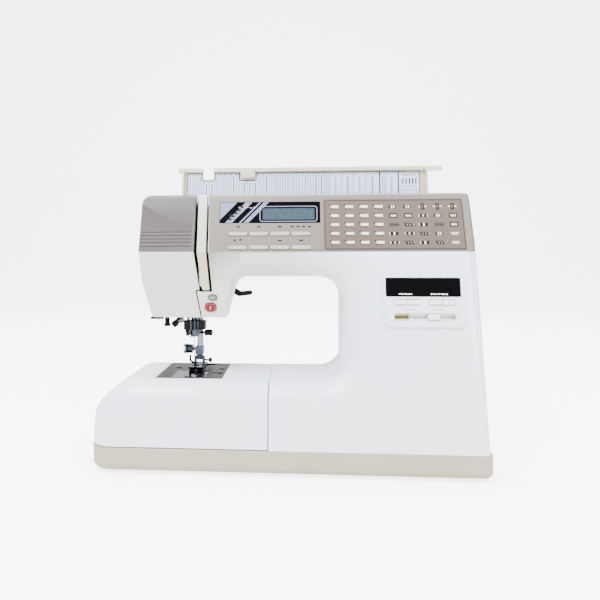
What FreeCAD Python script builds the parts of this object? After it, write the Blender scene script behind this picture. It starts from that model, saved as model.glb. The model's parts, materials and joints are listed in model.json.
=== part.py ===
"""Free-arm computerised sewing machine, as an assembly of separate pieces.

Millimetres.  X runs along the bed to the right, Y to the back, Z up.  While the pieces are made,
x = 0 and y = 0 is the needle and z = 0 is the table top.  export() moves everything together so
that the written model stands on z = 0 with its origin under the middle of its bounding box.
"""
import FreeCAD, Part
import math
import os
from FreeCAD import Vector

# ---------------------------------------------------------------- driving sizes
# casing, seen from the front
BED_LEFT = -97.0         # left end of the bed
BODY_RIGHT = 323.7       # right side of the column at the bed
BED_TOP = 94.0           # sewing surface above the table
HARP_HEIGHT = 113.0      # bed to the underside of the arm
HARP_RIGHT = 179.0       # wall of the column beside the work space
HARP_RADIUS = 28.0       # round corners of the work space
ARM_LIP = 27.0           # underside of the arm to the crest line under the control panel
PANEL_HEIGHT = 66.0      # crest line to the top
HEAD_DROP = 46.0         # the head reaches this far below the arm
HEAD_LEFT = -50.5        # left end of the head at the crest line
HEAD_RIGHT = 45.5        # right lower corner of the head
HEAD_FLARE = 0.272       # the head's right side leans out by this much per height
EDGE = 9.0               # rounding of the column's right edge and of the top right corner
PANEL_EDGE = 7.0         # rounding of the control panel's right edge
RIGHT_DRAFT = 6.7        # the right side leans in by this much up to the crest line
SHOULDER = 7.2           # and by this much up to the top
# casing, seen from the side
BED_FRONT = -87.0
BED_BACK = 24.0          # back of the free arm
BACK = 76.0              # back of the column and the arm
CREST_Y = -60.3          # the crest line stands back from the front of the bed
PANEL_TOP_Y = -43.0
SPLIT_Y = 26.0           # the front and the back casing meet here
PAN_TOP = 28.0           # seam between base pan and casing
FOOT_HEIGHT = 3.0
ROLL = 23.0              # large rounding all round the front of the work space
PAN_CORNER = 9.0         # upright corners of the base pan
SEAM_X = 95.0            # the extension table and the free arm end here
# walls and gaps
WALL = 3.0
SKIN = 2.0               # thin outer panels let into the casing
SEAM = 0.4               # gap between two fixed casing pieces
TABLE_SEAM = 1.0         # gap between the extension table and the pieces beside and below it
SPREAD = (16.0, 6.0)     # the work space widens towards the back by this much, left and right
SPREAD_Y = -26.0         # and starts to widen here
PLAY = 0.5               # gap round a piece that moves
RUN = 0.05               # radial clearance of a shaft in its bearing
# sewing parts
CENTRE_X = 4.0           # middle of the widest zigzag; the needle rests at its left end
PRESSER_Y = 12.0
NEEDLE_BAR_R = 3.5
PRESSER_BAR_R = 4.0
NEEDLE_TIP = 10.0        # point of the needle above the bed, at rest
PLATE_X = (-33.0, 42.0)
PLATE_Y = (-55.0, 21.0)
PLATE_T = 2.0
COVER_X = (-16.0, 22.0)  # sliding bobbin cover
COVER_Y = (-51.5, -19.3)
HOOK_Y = -28.0           # axis of the hook and the bobbin
HOOK_R = 21.0
BOBBIN_R = 10.2
BOBBIN_H = 11.5
ARM_BOTTOM = 38.0        # underside of the free arm
# shafts
SHAFT_Y = 35.0
SHAFT_R = 6.0
SHAFT_BELOW_TOP = 60.0   # main shaft below the top of the machine
LOWER_Z = 52.0
PULLEY_R = 14.0
BELT_X = BODY_RIGHT - 25.7
BELT_WIDTH = 8.0
BELT_T = 1.6
WHEEL_R = 33.0
WHEEL_X = (BODY_RIGHT - 2.7, BODY_RIGHT + 17.3)
# lid over the thread compartment
LID_X = (-19.0, BODY_RIGHT - 35.7)
LID_EARS = (-25.0, BODY_RIGHT - 16.7)
LID_Y = 15.0             # hinge axis
LID_REACH = 48.5         # hinge axis to the front edge
LID_DEPTH = 11.0         # the lid is let into the top by this much
LID_T = 2.5
LID_OPEN = 94.0          # degrees from shut to where it rests open
LID_PIN_R = 1.5
NOTCH_X = (7.4, 20.7)    # thread notch in the lid's front edge
TRAY_X = (36.0, BODY_RIGHT - 39.7)
TRAY_Y = (LID_Y - LID_REACH + 3.5, 8.0)
TRAY_DEPTH = 35.0
# control panel, measured up the leaning panel from the crest line
KEY_SIZE = (21.4, 4.2)
KEY_X = (60.1, 83.1, 106.4, 129.6)
KEY_ROWS = (21.2, 5.4)
KEY_PROUD = 1.2
DISPLAY = (38.8, 151.0, 33.8, 59.0)
MEMBRANE = (155.0, BODY_RIGHT - 17.7, 2.5, 61.0)
# speed tablet on the column
TABLET = (BODY_RIGHT - 107.2, BODY_RIGHT - 23.2, 156.0, 215.5)
TABLET_T = 2.2
ROCKER_X = (TABLET[0] + 23.9, TABLET[0] + 60.1)
ROCKER_Z = 182.0
ROCKER_SIZE = (26.6, 5.0)
SLIDER = (TABLET[0] + 10.5, TABLET[0] + 73.5, 162.8, 170.3)
SLIDER_KNOB_X = TABLET[0] + 50.8
SLIDER_KNOB = (12.6, 6.2)
# buttons on the head, below the crest line: middle x, middle z, width, height
START_BUTTON = (28.9, 172.0, 12.6, 9.6)
NEEDLE_BUTTON = (31.5, 183.2, 9.6, 5.8)
# thread slots, switch and inlet
SLOT_LENGTH = 42.5       # the slots reach this far below the crest line
SLOT_WIDTH = 3.6
SWITCH_Y = (-8.0, 12.0)
SWITCH_Z = (44.0, 58.0)
INLET_Y = (36.0, 60.0)
GRIP_DEPTH = 11.0        # recess in the back to lift the machine by
# free arm and extension table
TABLE_GAP = 0.6
TABLE_WALL = 2.6
ARM_SETBACK = 30.2       # front of the free arm behind the front of the table
# lid hinge, winder
KNUCKLE_X = (66.0, 230.0)
KNUCKLE_W = 10.0
# needle plate and feed
BUTTON_SLOT_X = (27.5, 38.5)
BUTTON_SLOT_Y = (-33.0, -27.0)
NEEDLE_SLOT = (11.5, 2.6)
FEED_Y = (-9.0, 13.0)
FEED_STROKE = 2.2
FEED_BAR_W = 1.8
# parts that hang below the head
NEEDLE_LENGTH = 38.0
FOOT_PIN_Y = 9.0
FOOT_PIN_R = 1.2
LOCK_DROP = -3.4         # the foot's release button, below its pin
LEVER_X = 8.0            # presser lifter
LEVER_RISE = 39.0
LEVER_SHAFT_R = 4.0
LEVER_DROP = 18.5        # the lifter's handle ends this far below its shaft
THREADER_X = -30.6
THREADER_Y = -10.0
THREADER_R = 2.4
BUTTONHOLE_X = -16.8
BUTTONHOLE_Y = -8.0
TAKE_UP_Y = 6.0
TAKE_UP_PIN_X = (8.6, 30.0)
# motor and casting inside
MOTOR_X = (206.0, 266.0)
MOTOR_Y, MOTOR_Z = 22.0, 118.0
CAST_Y = (50.0, 58.0)

# ---------------------------------------------------------------- sizes that follow
ARM_UNDER = BED_TOP + HARP_HEIGHT
CREST_Z = ARM_UNDER + ARM_LIP
TOP = CREST_Z + PANEL_HEIGHT
HEAD_BOTTOM = ARM_UNDER - HEAD_DROP
SHAFT_Z = TOP - SHAFT_BELOW_TOP
RECESS_FLOOR = TOP - LID_DEPTH
LID_Z = TOP - 5.5        # hinge axis of the lid
PANEL_LEAN = math.degrees(math.atan2(PANEL_TOP_Y - CREST_Y, PANEL_HEIGHT - 2))
FRONT_LEAN = math.degrees(math.atan2(CREST_Y - BED_FRONT, CREST_Z - PAN_TOP))
HEAD_LEAN = -8.6         # the head's face runs back towards its foot
SLOT_FOOT = CREST_Z - SLOT_LENGTH
FREE_ARM_X = (-56.0, SEAM_X - SEAM)
FREE_ARM_Y = (BED_FRONT + ARM_SETBACK, BED_BACK)
WINDER_X = TRAY_X[1] - 22
FEED_BARS_X = (CENTRE_X - 6.0, CENTRE_X - 1.9, CENTRE_X + 1.9, CENTRE_X + 6.0)
HOOK_TOP = BED_TOP - 12
CLAMP_Z = BED_TOP + NEEDLE_TIP + 28          # lower face of the needle clamp
FRAME_Z = (HEAD_BOTTOM + 10, SHAFT_Z + 14)   # needle bar frame
PIVOT_Z = SHAFT_Z + 22                       # the frame swings about this height
BAR_TOP = FRAME_Z[1] - 5
LEVER_Z = HEAD_BOTTOM + LEVER_RISE
TAKE_UP_Z = SHAFT_Z + 12
CAST_RIGHT = BELT_X - 8

X_AXIS = Vector(1, 0, 0)
Y_AXIS = Vector(0, 1, 0)
Z_AXIS = Vector(0, 0, 1)

nodes = {}


# ---------------------------------------------------------------- helpers
def block(x, y, z):
    """Box between the pairs x, y and z."""
    solid = Part.makeBox(x[1] - x[0], y[1] - y[0], z[1] - z[0])
    solid.translate(Vector(x[0], y[0], z[0]))
    return solid


def rod(radius, start, end):
    """Cylinder from point start to point end."""
    start, end = Vector(*start), Vector(*end)
    return Part.makeCylinder(radius, (end - start).Length, start, end - start)


def cone(r0, r1, start, end):
    start, end = Vector(*start), Vector(*end)
    return Part.makeCone(r0, r1, (end - start).Length, start, end - start)


def rounded_wire(points, place):
    """Closed wire through corners (a, b, radius); place turns a flat point into a space point."""
    flat = [Vector(a, b, 0) for a, b, _ in points]
    arcs = []
    for i, corner in enumerate(flat):
        radius = points[i][2]
        back = (flat[i - 1] - corner).normalize()
        ahead = (flat[(i + 1) % len(flat)] - corner).normalize()
        if radius == 0:
            arcs.append((corner, None, corner))
            continue
        half = back.getAngle(ahead) / 2
        middle = (back + ahead).normalize()
        tangent = radius / math.tan(half)
        apex = corner + middle * (radius / math.sin(half) - radius)
        arcs.append((corner + back * tangent, apex, corner + ahead * tangent))
    edges = []
    for i, (start, apex, end) in enumerate(arcs):
        if apex is not None:
            edges.append(Part.Arc(place(start), place(apex), place(end)).toShape())
        following = arcs[(i + 1) % len(arcs)][0]
        if (following - end).Length > 1e-6:
            edges.append(Part.LineSegment(place(end), place(following)).toShape())
    return Part.Wire(edges)


def on_xz(p):
    return Vector(p.x, 0, p.y)


def on_yz(p):
    return Vector(0, p.x, p.y)


def on_xy(p):
    return Vector(p.x, p.y, 0)


def slab(x, z, radius, y):
    """Rounded rectangle in the XZ plane, given a thickness from y[0] to y[1]."""
    corners = [(x[0], z[0], radius), (x[1], z[0], radius), (x[1], z[1], radius), (x[0], z[1], radius)]
    solid = Part.Face(rounded_wire(corners, on_xz)).extrude(Vector(0, y[1] - y[0], 0))
    solid.translate(Vector(0, y[0], 0))
    return solid


def pill(centre, size, y):
    """Slab with fully round ends."""
    (cx, cz), (w, h) = centre, size
    return slab((cx - w / 2, cx + w / 2), (cz - h / 2, cz + h / 2), min(w, h) / 2 - 0.01, y)


def plate(x, y, radius, z):
    """Rounded rectangle in the XY plane, given a thickness from z[0] to z[1]."""
    corners = [(x[0], y[0], radius), (x[1], y[0], radius), (x[1], y[1], radius), (x[0], y[1], radius)]
    solid = Part.Face(rounded_wire(corners, on_xy)).extrude(Vector(0, 0, z[1] - z[0]))
    solid.translate(Vector(0, 0, z[0]))
    return solid


def side_prism(points, x):
    """Outline (y, z, radius) in the YZ plane, drawn out from x[0] to x[1]."""
    solid = Part.Face(rounded_wire(points, on_yz)).extrude(Vector(x[1] - x[0], 0, 0))
    solid.translate(Vector(x[0], 0, 0))
    return solid


def front_prism(points, y):
    """Outline (x, z, radius) in the XZ plane, drawn out from y[0] to y[1]."""
    solid = Part.Face(rounded_wire(points, on_xz)).extrude(Vector(0, y[1] - y[0], 0))
    solid.translate(Vector(0, y[0], 0))
    return solid


def grow(pair, by):
    return (pair[0] - by, pair[1] + by)


def lay(shape, lean, y, z):
    """Tip a shape drawn on an upright face, which leans back by lean degrees, and put it there."""
    shape = shape.copy()
    shape.rotate(Vector(0, 0, 0), X_AXIS, -lean)
    shape.translate(Vector(0, y, z))
    return shape


def on_panel(shape):
    return lay(shape, PANEL_LEAN, CREST_Y, CREST_Z)


def on_head(shape):
    shape = shape.copy()
    shape.translate(Vector(0, 0, -CREST_Z))
    return lay(shape, HEAD_LEAN, CREST_Y, CREST_Z)


def on_front(shape):
    shape = shape.copy()
    shape.translate(Vector(0, 0, -PAN_TOP))
    return lay(shape, FRONT_LEAN, BED_FRONT, PAN_TOP)


def turned(shape, point, axis, degrees):
    shape = shape.copy()
    shape.rotate(Vector(*point), axis, degrees)
    return shape


def fuse(*shapes):
    return shapes[0].fuse(list(shapes[1:])).removeSplitter()


# ---------------------------------------------------------------- outer form of the casing
def casing_form(inset=0.0):
    """Solid form of bed, column, arm and head, moved inwards by inset; inset forms run out below."""
    low = PAN_TOP - (2 * WALL if inset else 0)
    head_side = HEAD_RIGHT + HEAD_DROP * HEAD_FLARE
    silhouette = [
        (BODY_RIGHT + (PAN_TOP - low) * RIGHT_DRAFT / (CREST_Z - PAN_TOP), low, 0),
        (BODY_RIGHT - RIGHT_DRAFT, CREST_Z, 0), (BODY_RIGHT - SHOULDER, TOP, EDGE),
        (HEAD_LEFT - 0.4, TOP, 11), (HEAD_LEFT, CREST_Z, 0), (HEAD_LEFT + 2.5, ARM_UNDER - 6, 40),
        (HEAD_LEFT + 13, HEAD_BOTTOM, 3.5), (HEAD_RIGHT, HEAD_BOTTOM, 0), (head_side, ARM_UNDER, 15),
        (HARP_RIGHT, ARM_UNDER, HARP_RADIUS + 2), (HARP_RIGHT, BED_TOP, HARP_RADIUS),
        (BED_LEFT + 31, BED_TOP, 40), (BED_LEFT, BED_TOP - 27, 30), (BED_LEFT, low, 0)]
    front_low = BED_FRONT - (PAN_TOP - low) * math.tan(math.radians(FRONT_LEAN))
    profile = [
        (front_low, low, 0), (CREST_Y, CREST_Z, 0), (PANEL_TOP_Y, TOP - 2, 3),
        (PANEL_TOP_Y + 3, TOP, 0), (BACK, TOP, 18), (BACK, low, 0)]
    outline = rounded_wire(silhouette, on_xz)
    section = rounded_wire(profile, on_yz)
    if inset:
        outline = outline.makeOffset2D(-inset, join=2)
        section = section.makeOffset2D(-inset, join=2)
    depth = Part.Face(outline).extrude(Vector(0, 4 * BACK, 0))
    depth.translate(Vector(0, -2 * BACK, 0))
    length = Part.Face(section).extrude(Vector(3 * BODY_RIGHT, 0, 0))
    length.translate(Vector(2 * BED_LEFT, 0, 0))
    form = depth.common(length)
    form = form.makeFillet(ROLL - inset, work_space_edges(form, inset))
    crest, foot = (BODY_RIGHT - RIGHT_DRAFT, CREST_Y, CREST_Z), (BODY_RIGHT, BED_FRONT, PAN_TOP)
    form = form.common(rounded_corner(foot, crest, EDGE, inset))
    top = (BODY_RIGHT - SHOULDER, PANEL_TOP_Y, TOP - 2)
    form = form.common(rounded_corner(crest, top, PANEL_EDGE, inset))
    form = form.cut(front_of_head(inset)).cut(work_space_draft(inset))
    below = [(2 * BED_LEFT, low - 1, 0), (HARP_RIGHT + inset, low - 1, 0),
             (HARP_RIGHT + inset, BED_TOP + HARP_RADIUS, 0), (2 * BED_LEFT, BED_TOP + HARP_RADIUS, 0)]
    form = form.cut(drafted(below, (BED_BACK - inset, 2 * BACK), SPREAD[1]))
    return form.cut(lid_recess(inset))


def work_space_edges(form, inset):
    """Front edges of bed, column and arm that carry the large rounding."""
    lean = math.radians(FRONT_LEAN)
    chosen = []
    for edge in form.Edges:
        middle = edge.valueAt((edge.FirstParameter + edge.LastParameter) / 2)
        points = [v.Point for v in edge.Vertexes] + [middle]
        out = [(p.y - BED_FRONT) * math.cos(lean) - (p.z - PAN_TOP) * math.sin(lean) - inset
               for p in points]
        if max(abs(d) for d in out) > 0.02:
            continue
        lowest = min(p.z for p in points) == max(p.z for p in points) and middle.z < PAN_TOP + 1
        below_head = middle.x < HEAD_RIGHT - inset and middle.z > HEAD_BOTTOM - 1
        if lowest or middle.z > CREST_Z - 4 or middle.x > BODY_RIGHT - 10 or below_head:
            continue
        chosen.append(edge)
    return chosen


def drafted(points, y, spread):
    """Outline (x, z, radius) drawn out from y[0] to y[1], moving in x by spread from SPREAD_Y to BACK."""
    rate = spread / (BACK - SPREAD_Y)
    outline = [(x + rate * (y[0] - SPREAD_Y), z, radius) for x, z, radius in points]
    along = Vector(rate * (y[1] - y[0]), y[1] - y[0], 0)
    solid = Part.Face(rounded_wire(outline, on_xz)).extrude(along)
    solid.translate(Vector(0, y[0], 0))
    return solid


def work_space_draft(inset):
    """What is cut away to widen the work space towards the back, so that both its sides have draft."""
    def head_side(z):
        return HEAD_RIGHT + (z - HEAD_BOTTOM) * HEAD_FLARE - inset

    middle = (HEAD_RIGHT + HARP_RIGHT) / 2
    low, high, under = BED_TOP - inset, ARM_UNDER + inset, HEAD_BOTTOM - 20
    y = (SPREAD_Y - 25, BACK + 25)
    left = [(head_side(under), under, 0), (middle, under, 0), (middle, high, 0),
            (head_side(high), high, 15 + inset)]
    right = [(middle, low, 0), (HARP_RIGHT + inset, low, HARP_RADIUS + inset),
             (HARP_RIGHT + inset, high, HARP_RADIUS + 2 + inset), (middle, high, 0)]
    return drafted(left, y, -SPREAD[0]).fuse(drafted(right, y, SPREAD[1]))


def rounded_corner(low, high, radius, inset):
    """Large block whose front right edge runs through low and high, and has that radius."""
    lean = math.atan2(high[1] - low[1], high[2] - low[2])
    draft = math.atan2(low[0] - high[0], high[2] - low[2])
    base, top = low[2] - 2 * TOP, high[2] + TOP

    def front(z):
        return low[1] + (z - low[2]) * math.tan(lean) + inset / math.cos(lean)

    def right(z):
        return low[0] - (z - low[2]) * math.tan(draft) - inset / math.cos(draft)

    sides = front_prism([(right(base), base, 0), (right(top), top, 0), (3 * BED_LEFT, top, 0),
                         (3 * BED_LEFT, base, 0)], (-6 * BACK, 6 * BACK))
    depth = side_prism([(front(base), base, 0), (front(top), top, 0), (5 * BACK, top, 0),
                        (5 * BACK, base, 0)], (4 * BED_LEFT, 3 * BODY_RIGHT))
    corner = sides.common(depth)
    edges = [e for e in corner.Edges
             if all(abs(v.X - right(v.Z)) < 0.01 and abs(v.Y - front(v.Z)) < 0.01 for v in e.Vertexes)]
    return corner.makeFillet(radius - inset, edges)


def front_of_head(inset):
    """What is cut away in front of the head's face."""
    y = CREST_Y + inset / math.cos(math.radians(HEAD_LEAN))
    foot = HEAD_BOTTOM - 20
    back = y + (foot - CREST_Z) * math.tan(math.radians(HEAD_LEAN))
    points = [(y, CREST_Z, 0), (back, foot, 0), (y - 60, foot, 0), (y - 60, CREST_Z, 0)]
    return side_prism(points, (HEAD_LEFT - 20, HEAD_RIGHT + HEAD_DROP * HEAD_FLARE + 4))


def lid_recess(inset):
    """Room for the lid in the top of the casing."""
    front = LID_Y - LID_REACH
    height = (RECESS_FLOOR - inset, TOP + 20)
    body = block(grow(LID_X, 1 + inset), (front - 1 - inset, LID_Y + 6.8 + inset), height)
    ears = block(grow(LID_EARS, 1 + inset), (front - 1 - inset, front + 7 + inset), height)
    return body.fuse(ears)


# ---------------------------------------------------------------- zones that divide the casing
def slot_line(side, z):
    """x of the thread slots' outer edges: left slot for side 0, right slot for side 1."""
    top, crest, foot = ((10.3, 11.3, 16.6), (26.3, 28.0, 31.0))[side]
    if z >= CREST_Z:
        return crest + (top - crest) * (z - CREST_Z) / PANEL_HEIGHT
    return foot + (crest - foot) * (z - SLOT_FOOT) / (CREST_Z - SLOT_FOOT)


def left_of_head(gap):
    """Region of the face cover: everything left of the left thread slot, less gap."""
    reach = (HEAD_LEFT - 30, 0)
    points = [(reach[0], HEAD_BOTTOM - 5, 0), (18.3 - gap, HEAD_BOTTOM - 5, 0),
              (13.2 - gap, SLOT_FOOT, 0), (slot_line(0, SLOT_FOOT) - gap, SLOT_FOOT, 0),
              (slot_line(0, CREST_Z) - gap, CREST_Z, 0), (slot_line(0, TOP) - gap, TOP + 5, 0),
              (reach[0], TOP + 5, 0)]
    return front_prism(points, (-2 * BACK, SPLIT_Y - SEAM / 2))


def thread_slots():
    """U-shaped thread channel cut: two slots joined below, from the front face to the lid."""
    left = [(slot_line(0, SLOT_FOOT), SLOT_FOOT), (slot_line(0, CREST_Z), CREST_Z),
            (slot_line(0, TOP), TOP + 5)]
    right = [(slot_line(1, SLOT_FOOT), SLOT_FOOT), (slot_line(1, CREST_Z), CREST_Z),
             (slot_line(1, TOP), TOP + 5)]
    y = (-2 * BACK, LID_Y - LID_REACH)
    cuts = []
    for line, width in ((left, SLOT_WIDTH), (right, -SLOT_WIDTH + 0.6)):
        points = [(x, z, 0) for x, z in line] + [(x + width, z, 0) for x, z in reversed(line)]
        cuts.append(front_prism(points, y))
    foot = [(left[0][0], SLOT_FOOT - 1.2, 0), (right[0][0], SLOT_FOOT - 1.2, 0),
            (right[0][0], SLOT_FOOT, 0), (left[0][0], SLOT_FOOT, 0)]
    cuts.append(front_prism(foot, y))
    return cuts[0].fuse(cuts[1:])


def skin_zone(x0, x1, outer, under):
    """Part of the outermost SKIN layer on the leaning panel between two side limits."""
    layer = outer.cut(under)
    z = (CREST_Z + 0.6, TOP + 5)
    return layer.common(front_prism([(x0[0], z[0], 0), (x1[0], z[0], 0), (x1[1], z[1], 0),
                                     (x0[1], z[1], 0)], (-2 * BACK, PANEL_TOP_Y + 5)))


# ---------------------------------------------------------------- casing pieces
def make_casing():
    outer = casing_form()
    under = casing_form(SKIN)
    inner = casing_form(WALL)
    shell = outer.cut(inner)
    left_x = (slot_line(0, CREST_Z), slot_line(0, TOP))
    right_x = (slot_line(1, CREST_Z), slot_line(1, TOP))
    cap = skin_zone((HEAD_LEFT - 30, HEAD_LEFT - 30), left_x, outer, under)
    bezel = skin_zone(right_x, (BODY_RIGHT + 10, BODY_RIGHT + 10), outer, under)

    face = shell.common(left_of_head(0.0)).cut(cap)
    face = face.cut(head_floor_opening())
    nodes["face_cover"] = face
    nodes["face_cap"] = cap_with_grooves(cap)

    bed_left = block((2 * BED_LEFT, SEAM_X), (-2 * BACK, 2 * BACK), (0, BED_TOP + 10))
    front = shell.common(block((2 * BED_LEFT, 2 * BODY_RIGHT), (-2 * BACK, SPLIT_Y - SEAM / 2),
                               (0, 2 * TOP)))
    front = front.cut(bed_left).cut(left_of_head(-SEAM)).cut(bezel)
    front = front.cut(thread_slots()).cut(head_floor_opening())
    front = front.cut(panel_window()).cut(tray_hole(0.3)).cut(tablet_window())
    front = front.cut(button_holes()).cut(switch_hole())
    front = fuse(front, bed_end_wall(inner), thread_tongue_rib(inner))
    nodes["front_cover"] = front

    rear = shell.common(block((2 * BED_LEFT, 2 * BODY_RIGHT), (SPLIT_Y + SEAM / 2, 2 * BACK),
                              (0, 2 * TOP)))
    grip_cup, grip_room = hand_grip()
    rear = fuse(rear, grip_cup).cut(grip_room)
    rear = rear.cut(inlet_hole()).cut(shaft_hole()).cut(lever_hole()).cut(rear_vents())
    nodes["rear_cover"] = rear

    nodes["panel_bezel"] = bezel_with_openings(bezel)
    nodes["extension_table"] = extension_table(outer)
    nodes["free_arm_cover"] = free_arm_cover()


def cap_with_grooves(cap):
    for v in (6.7, 10.9, 15.1, 19.2, 23.3):
        groove = block((HEAD_LEFT - 10, 7.8), (-1, 0.7), (v - 0.6, v + 0.6))
        cap = cap.cut(on_panel(groove))
    return cap


def head_floor_opening():
    """Hole in the underside of the head that the bars pass through."""
    z = (HEAD_BOTTOM - 2, HEAD_BOTTOM + WALL + 2)
    main = plate((-25, 22), (-20, SPLIT_Y + 2), 3, z)
    return main.fuse(rod(THREADER_R + 0.8, (THREADER_X, THREADER_Y, z[0]), (THREADER_X, THREADER_Y, z[1])))


def panel_window():
    x = (min(KEY_X) - KEY_SIZE[0] / 2 - 8, MEMBRANE[1] - 4)
    return on_panel(slab(x, (0.9, 60.5), 0.5, (-1, 12)))


def tray_hole(gap):
    return plate(grow(TRAY_X, gap), grow(TRAY_Y, gap), 4, (RECESS_FLOOR - 10, RECESS_FLOOR + 0.01))


def tablet_window():
    x, z = (TABLET[0], TABLET[1]), (TABLET[2], TABLET[3])
    return on_front(slab(grow(x, -3), grow(z, -3), 4, (-5, 12)))


def button_holes():
    holes = []
    for cx, cz, w, h in (START_BUTTON, NEEDLE_BUTTON):
        holes.append(on_head(pill((cx, cz), (w + 2 * PLAY, h + 2 * PLAY), (-2, 12))))
    return holes[0].fuse(holes[1])


def switch_hole():
    return block((BODY_RIGHT - 12, BODY_RIGHT + 5), SWITCH_Y, SWITCH_Z)


def inlet_hole():
    return block((BODY_RIGHT - 12, BODY_RIGHT + 5), INLET_Y, SWITCH_Z)


def shaft_hole():
    return rod(SHAFT_R + 4, (BODY_RIGHT - 15, SHAFT_Y, SHAFT_Z), (BODY_RIGHT + 10, SHAFT_Y, SHAFT_Z))


def lever_hole():
    return rod(LEVER_SHAFT_R + 1, (LEVER_X, BACK - 10, LEVER_Z), (LEVER_X, BACK + 10, LEVER_Z))


def hand_grip():
    """Recess in the back, below the top edge, to lift the machine by: its cup and its room."""
    x, z = (HARP_RIGHT - 80, HARP_RIGHT + 10), (TOP - 52, TOP - 30)
    cup = block(grow(x, WALL), (BACK - GRIP_DEPTH - WALL, BACK - WALL + 0.5), grow(z, WALL))
    return cup, block(x, (BACK - GRIP_DEPTH, BACK + 5), z)


def rear_vents():
    start, pitch, width = HARP_RIGHT + 36, 9, 5
    cuts = [block((start + pitch * i, start + pitch * i + width), (BACK - 10, BACK + 5), (70, 110))
            for i in range(9)]
    return cuts[0].fuse(cuts[1:])


def bed_end_wall(inner):
    """Wall that shuts the bed beside the free arm, where the extension table ends."""
    wall = inner.common(block((SEAM_X + SEAM, SEAM_X + SEAM + WALL), (-2 * BACK, BED_BACK + 1),
                              (PAN_TOP, BED_TOP - 1)))
    inside = block((SEAM_X - 5, SEAM_X + 15), (FREE_ARM_Y[0] + WALL, FREE_ARM_Y[1] - WALL),
                   (ARM_BOTTOM + WALL, BED_TOP - WALL))
    return wall.cut(inside)


def thread_tongue_rib(inner):
    """Rib that carries the tongue between the two thread slots from inside the head."""
    x = (slot_line(0, CREST_Z) + SLOT_WIDTH + 1.6, slot_line(1, CREST_Z) - SLOT_WIDTH - 1)
    front = block(x, (-2 * BACK, -30), (CREST_Z - 38, RECESS_FLOOR - WALL + 0.5))
    rib = casing_form(WALL - 0.5).common(front)
    bridge = block((x[0], x[1] + 24), (-36, -30), (CREST_Z + 30, RECESS_FLOOR - WALL + 0.5))
    return rib.common(block(x, (-2 * BACK, -30), (0, 2 * TOP))).fuse(bridge)


def bezel_with_openings(bezel):
    for row in KEY_ROWS:
        for x in KEY_X:
            size = (KEY_SIZE[0] + 2 * 0.35, KEY_SIZE[1] + 2 * 0.35)
            bezel = bezel.cut(on_panel(pill((x, row), size, (-2, 10))))
    x0, x1, v0, v1 = DISPLAY
    bezel = bezel.cut(on_panel(slab((x0, x1), (v0, v1), 1, (-1, 1.2))))
    bezel = bezel.cut(on_panel(slab((x0 + 3, x1 - 3), (v0 + 3, v1 - 3), 1, (-1, 10))))
    x0, x1, v0, v1 = MEMBRANE
    return bezel.cut(on_panel(slab((x0, x1), (v0, v1), 1.5, (-1, 0.8))))


def extension_table(outer):
    """Hollow table that wraps the front and the end of the free arm, open towards the arm."""
    end, floor = SEAM_X - TABLE_SEAM, PAN_TOP + TABLE_SEAM
    region = block((2 * BED_LEFT, end), (-2 * BACK, BED_BACK), (floor, BED_TOP + 5))
    arm = block((FREE_ARM_X[0] - TABLE_GAP, SEAM_X + 5), (FREE_ARM_Y[0] - TABLE_GAP, 2 * BACK),
                (0, BED_TOP + 5))
    body = outer.common(region).cut(arm)
    inside = casing_form(TABLE_WALL)
    room = inside.common(block((2 * BED_LEFT, end - TABLE_WALL), (-2 * BACK, BED_BACK - TABLE_WALL),
                               (floor + TABLE_WALL, BED_TOP)))
    return body.cut(room)


def free_arm_cover():
    x, y, z = FREE_ARM_X, FREE_ARM_Y, (ARM_BOTTOM, BED_TOP)
    corner = 7.0
    body = side_prism([(y[0], z[0], corner), (y[1], z[0], corner), (y[1], z[1], 1.5),
                       (y[0], z[1], 0)], x)
    hollow = side_prism([(y[0] + WALL, z[0] + WALL, corner - WALL), (y[1] - WALL, z[0] + WALL, corner - WALL),
                         (y[1] - WALL, z[1] - WALL, 0), (y[0] + WALL, z[1] - WALL, 0)],
                        (x[0] + WALL, x[1] + 5))
    body = body.cut(hollow)
    seat = plate(grow(PLATE_X, 0.2), grow(PLATE_Y, 0.2), 2, (BED_TOP - PLATE_T, BED_TOP + 1))
    ledge = plate(grow(PLATE_X, -3), grow(PLATE_Y, -3), 2, (BED_TOP - 10, BED_TOP + 1))
    button = block(BUTTON_SLOT_X, BUTTON_SLOT_Y, (BED_TOP - 10, BED_TOP + 1))
    return body.cut(seat).cut(ledge).cut(button)


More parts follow.
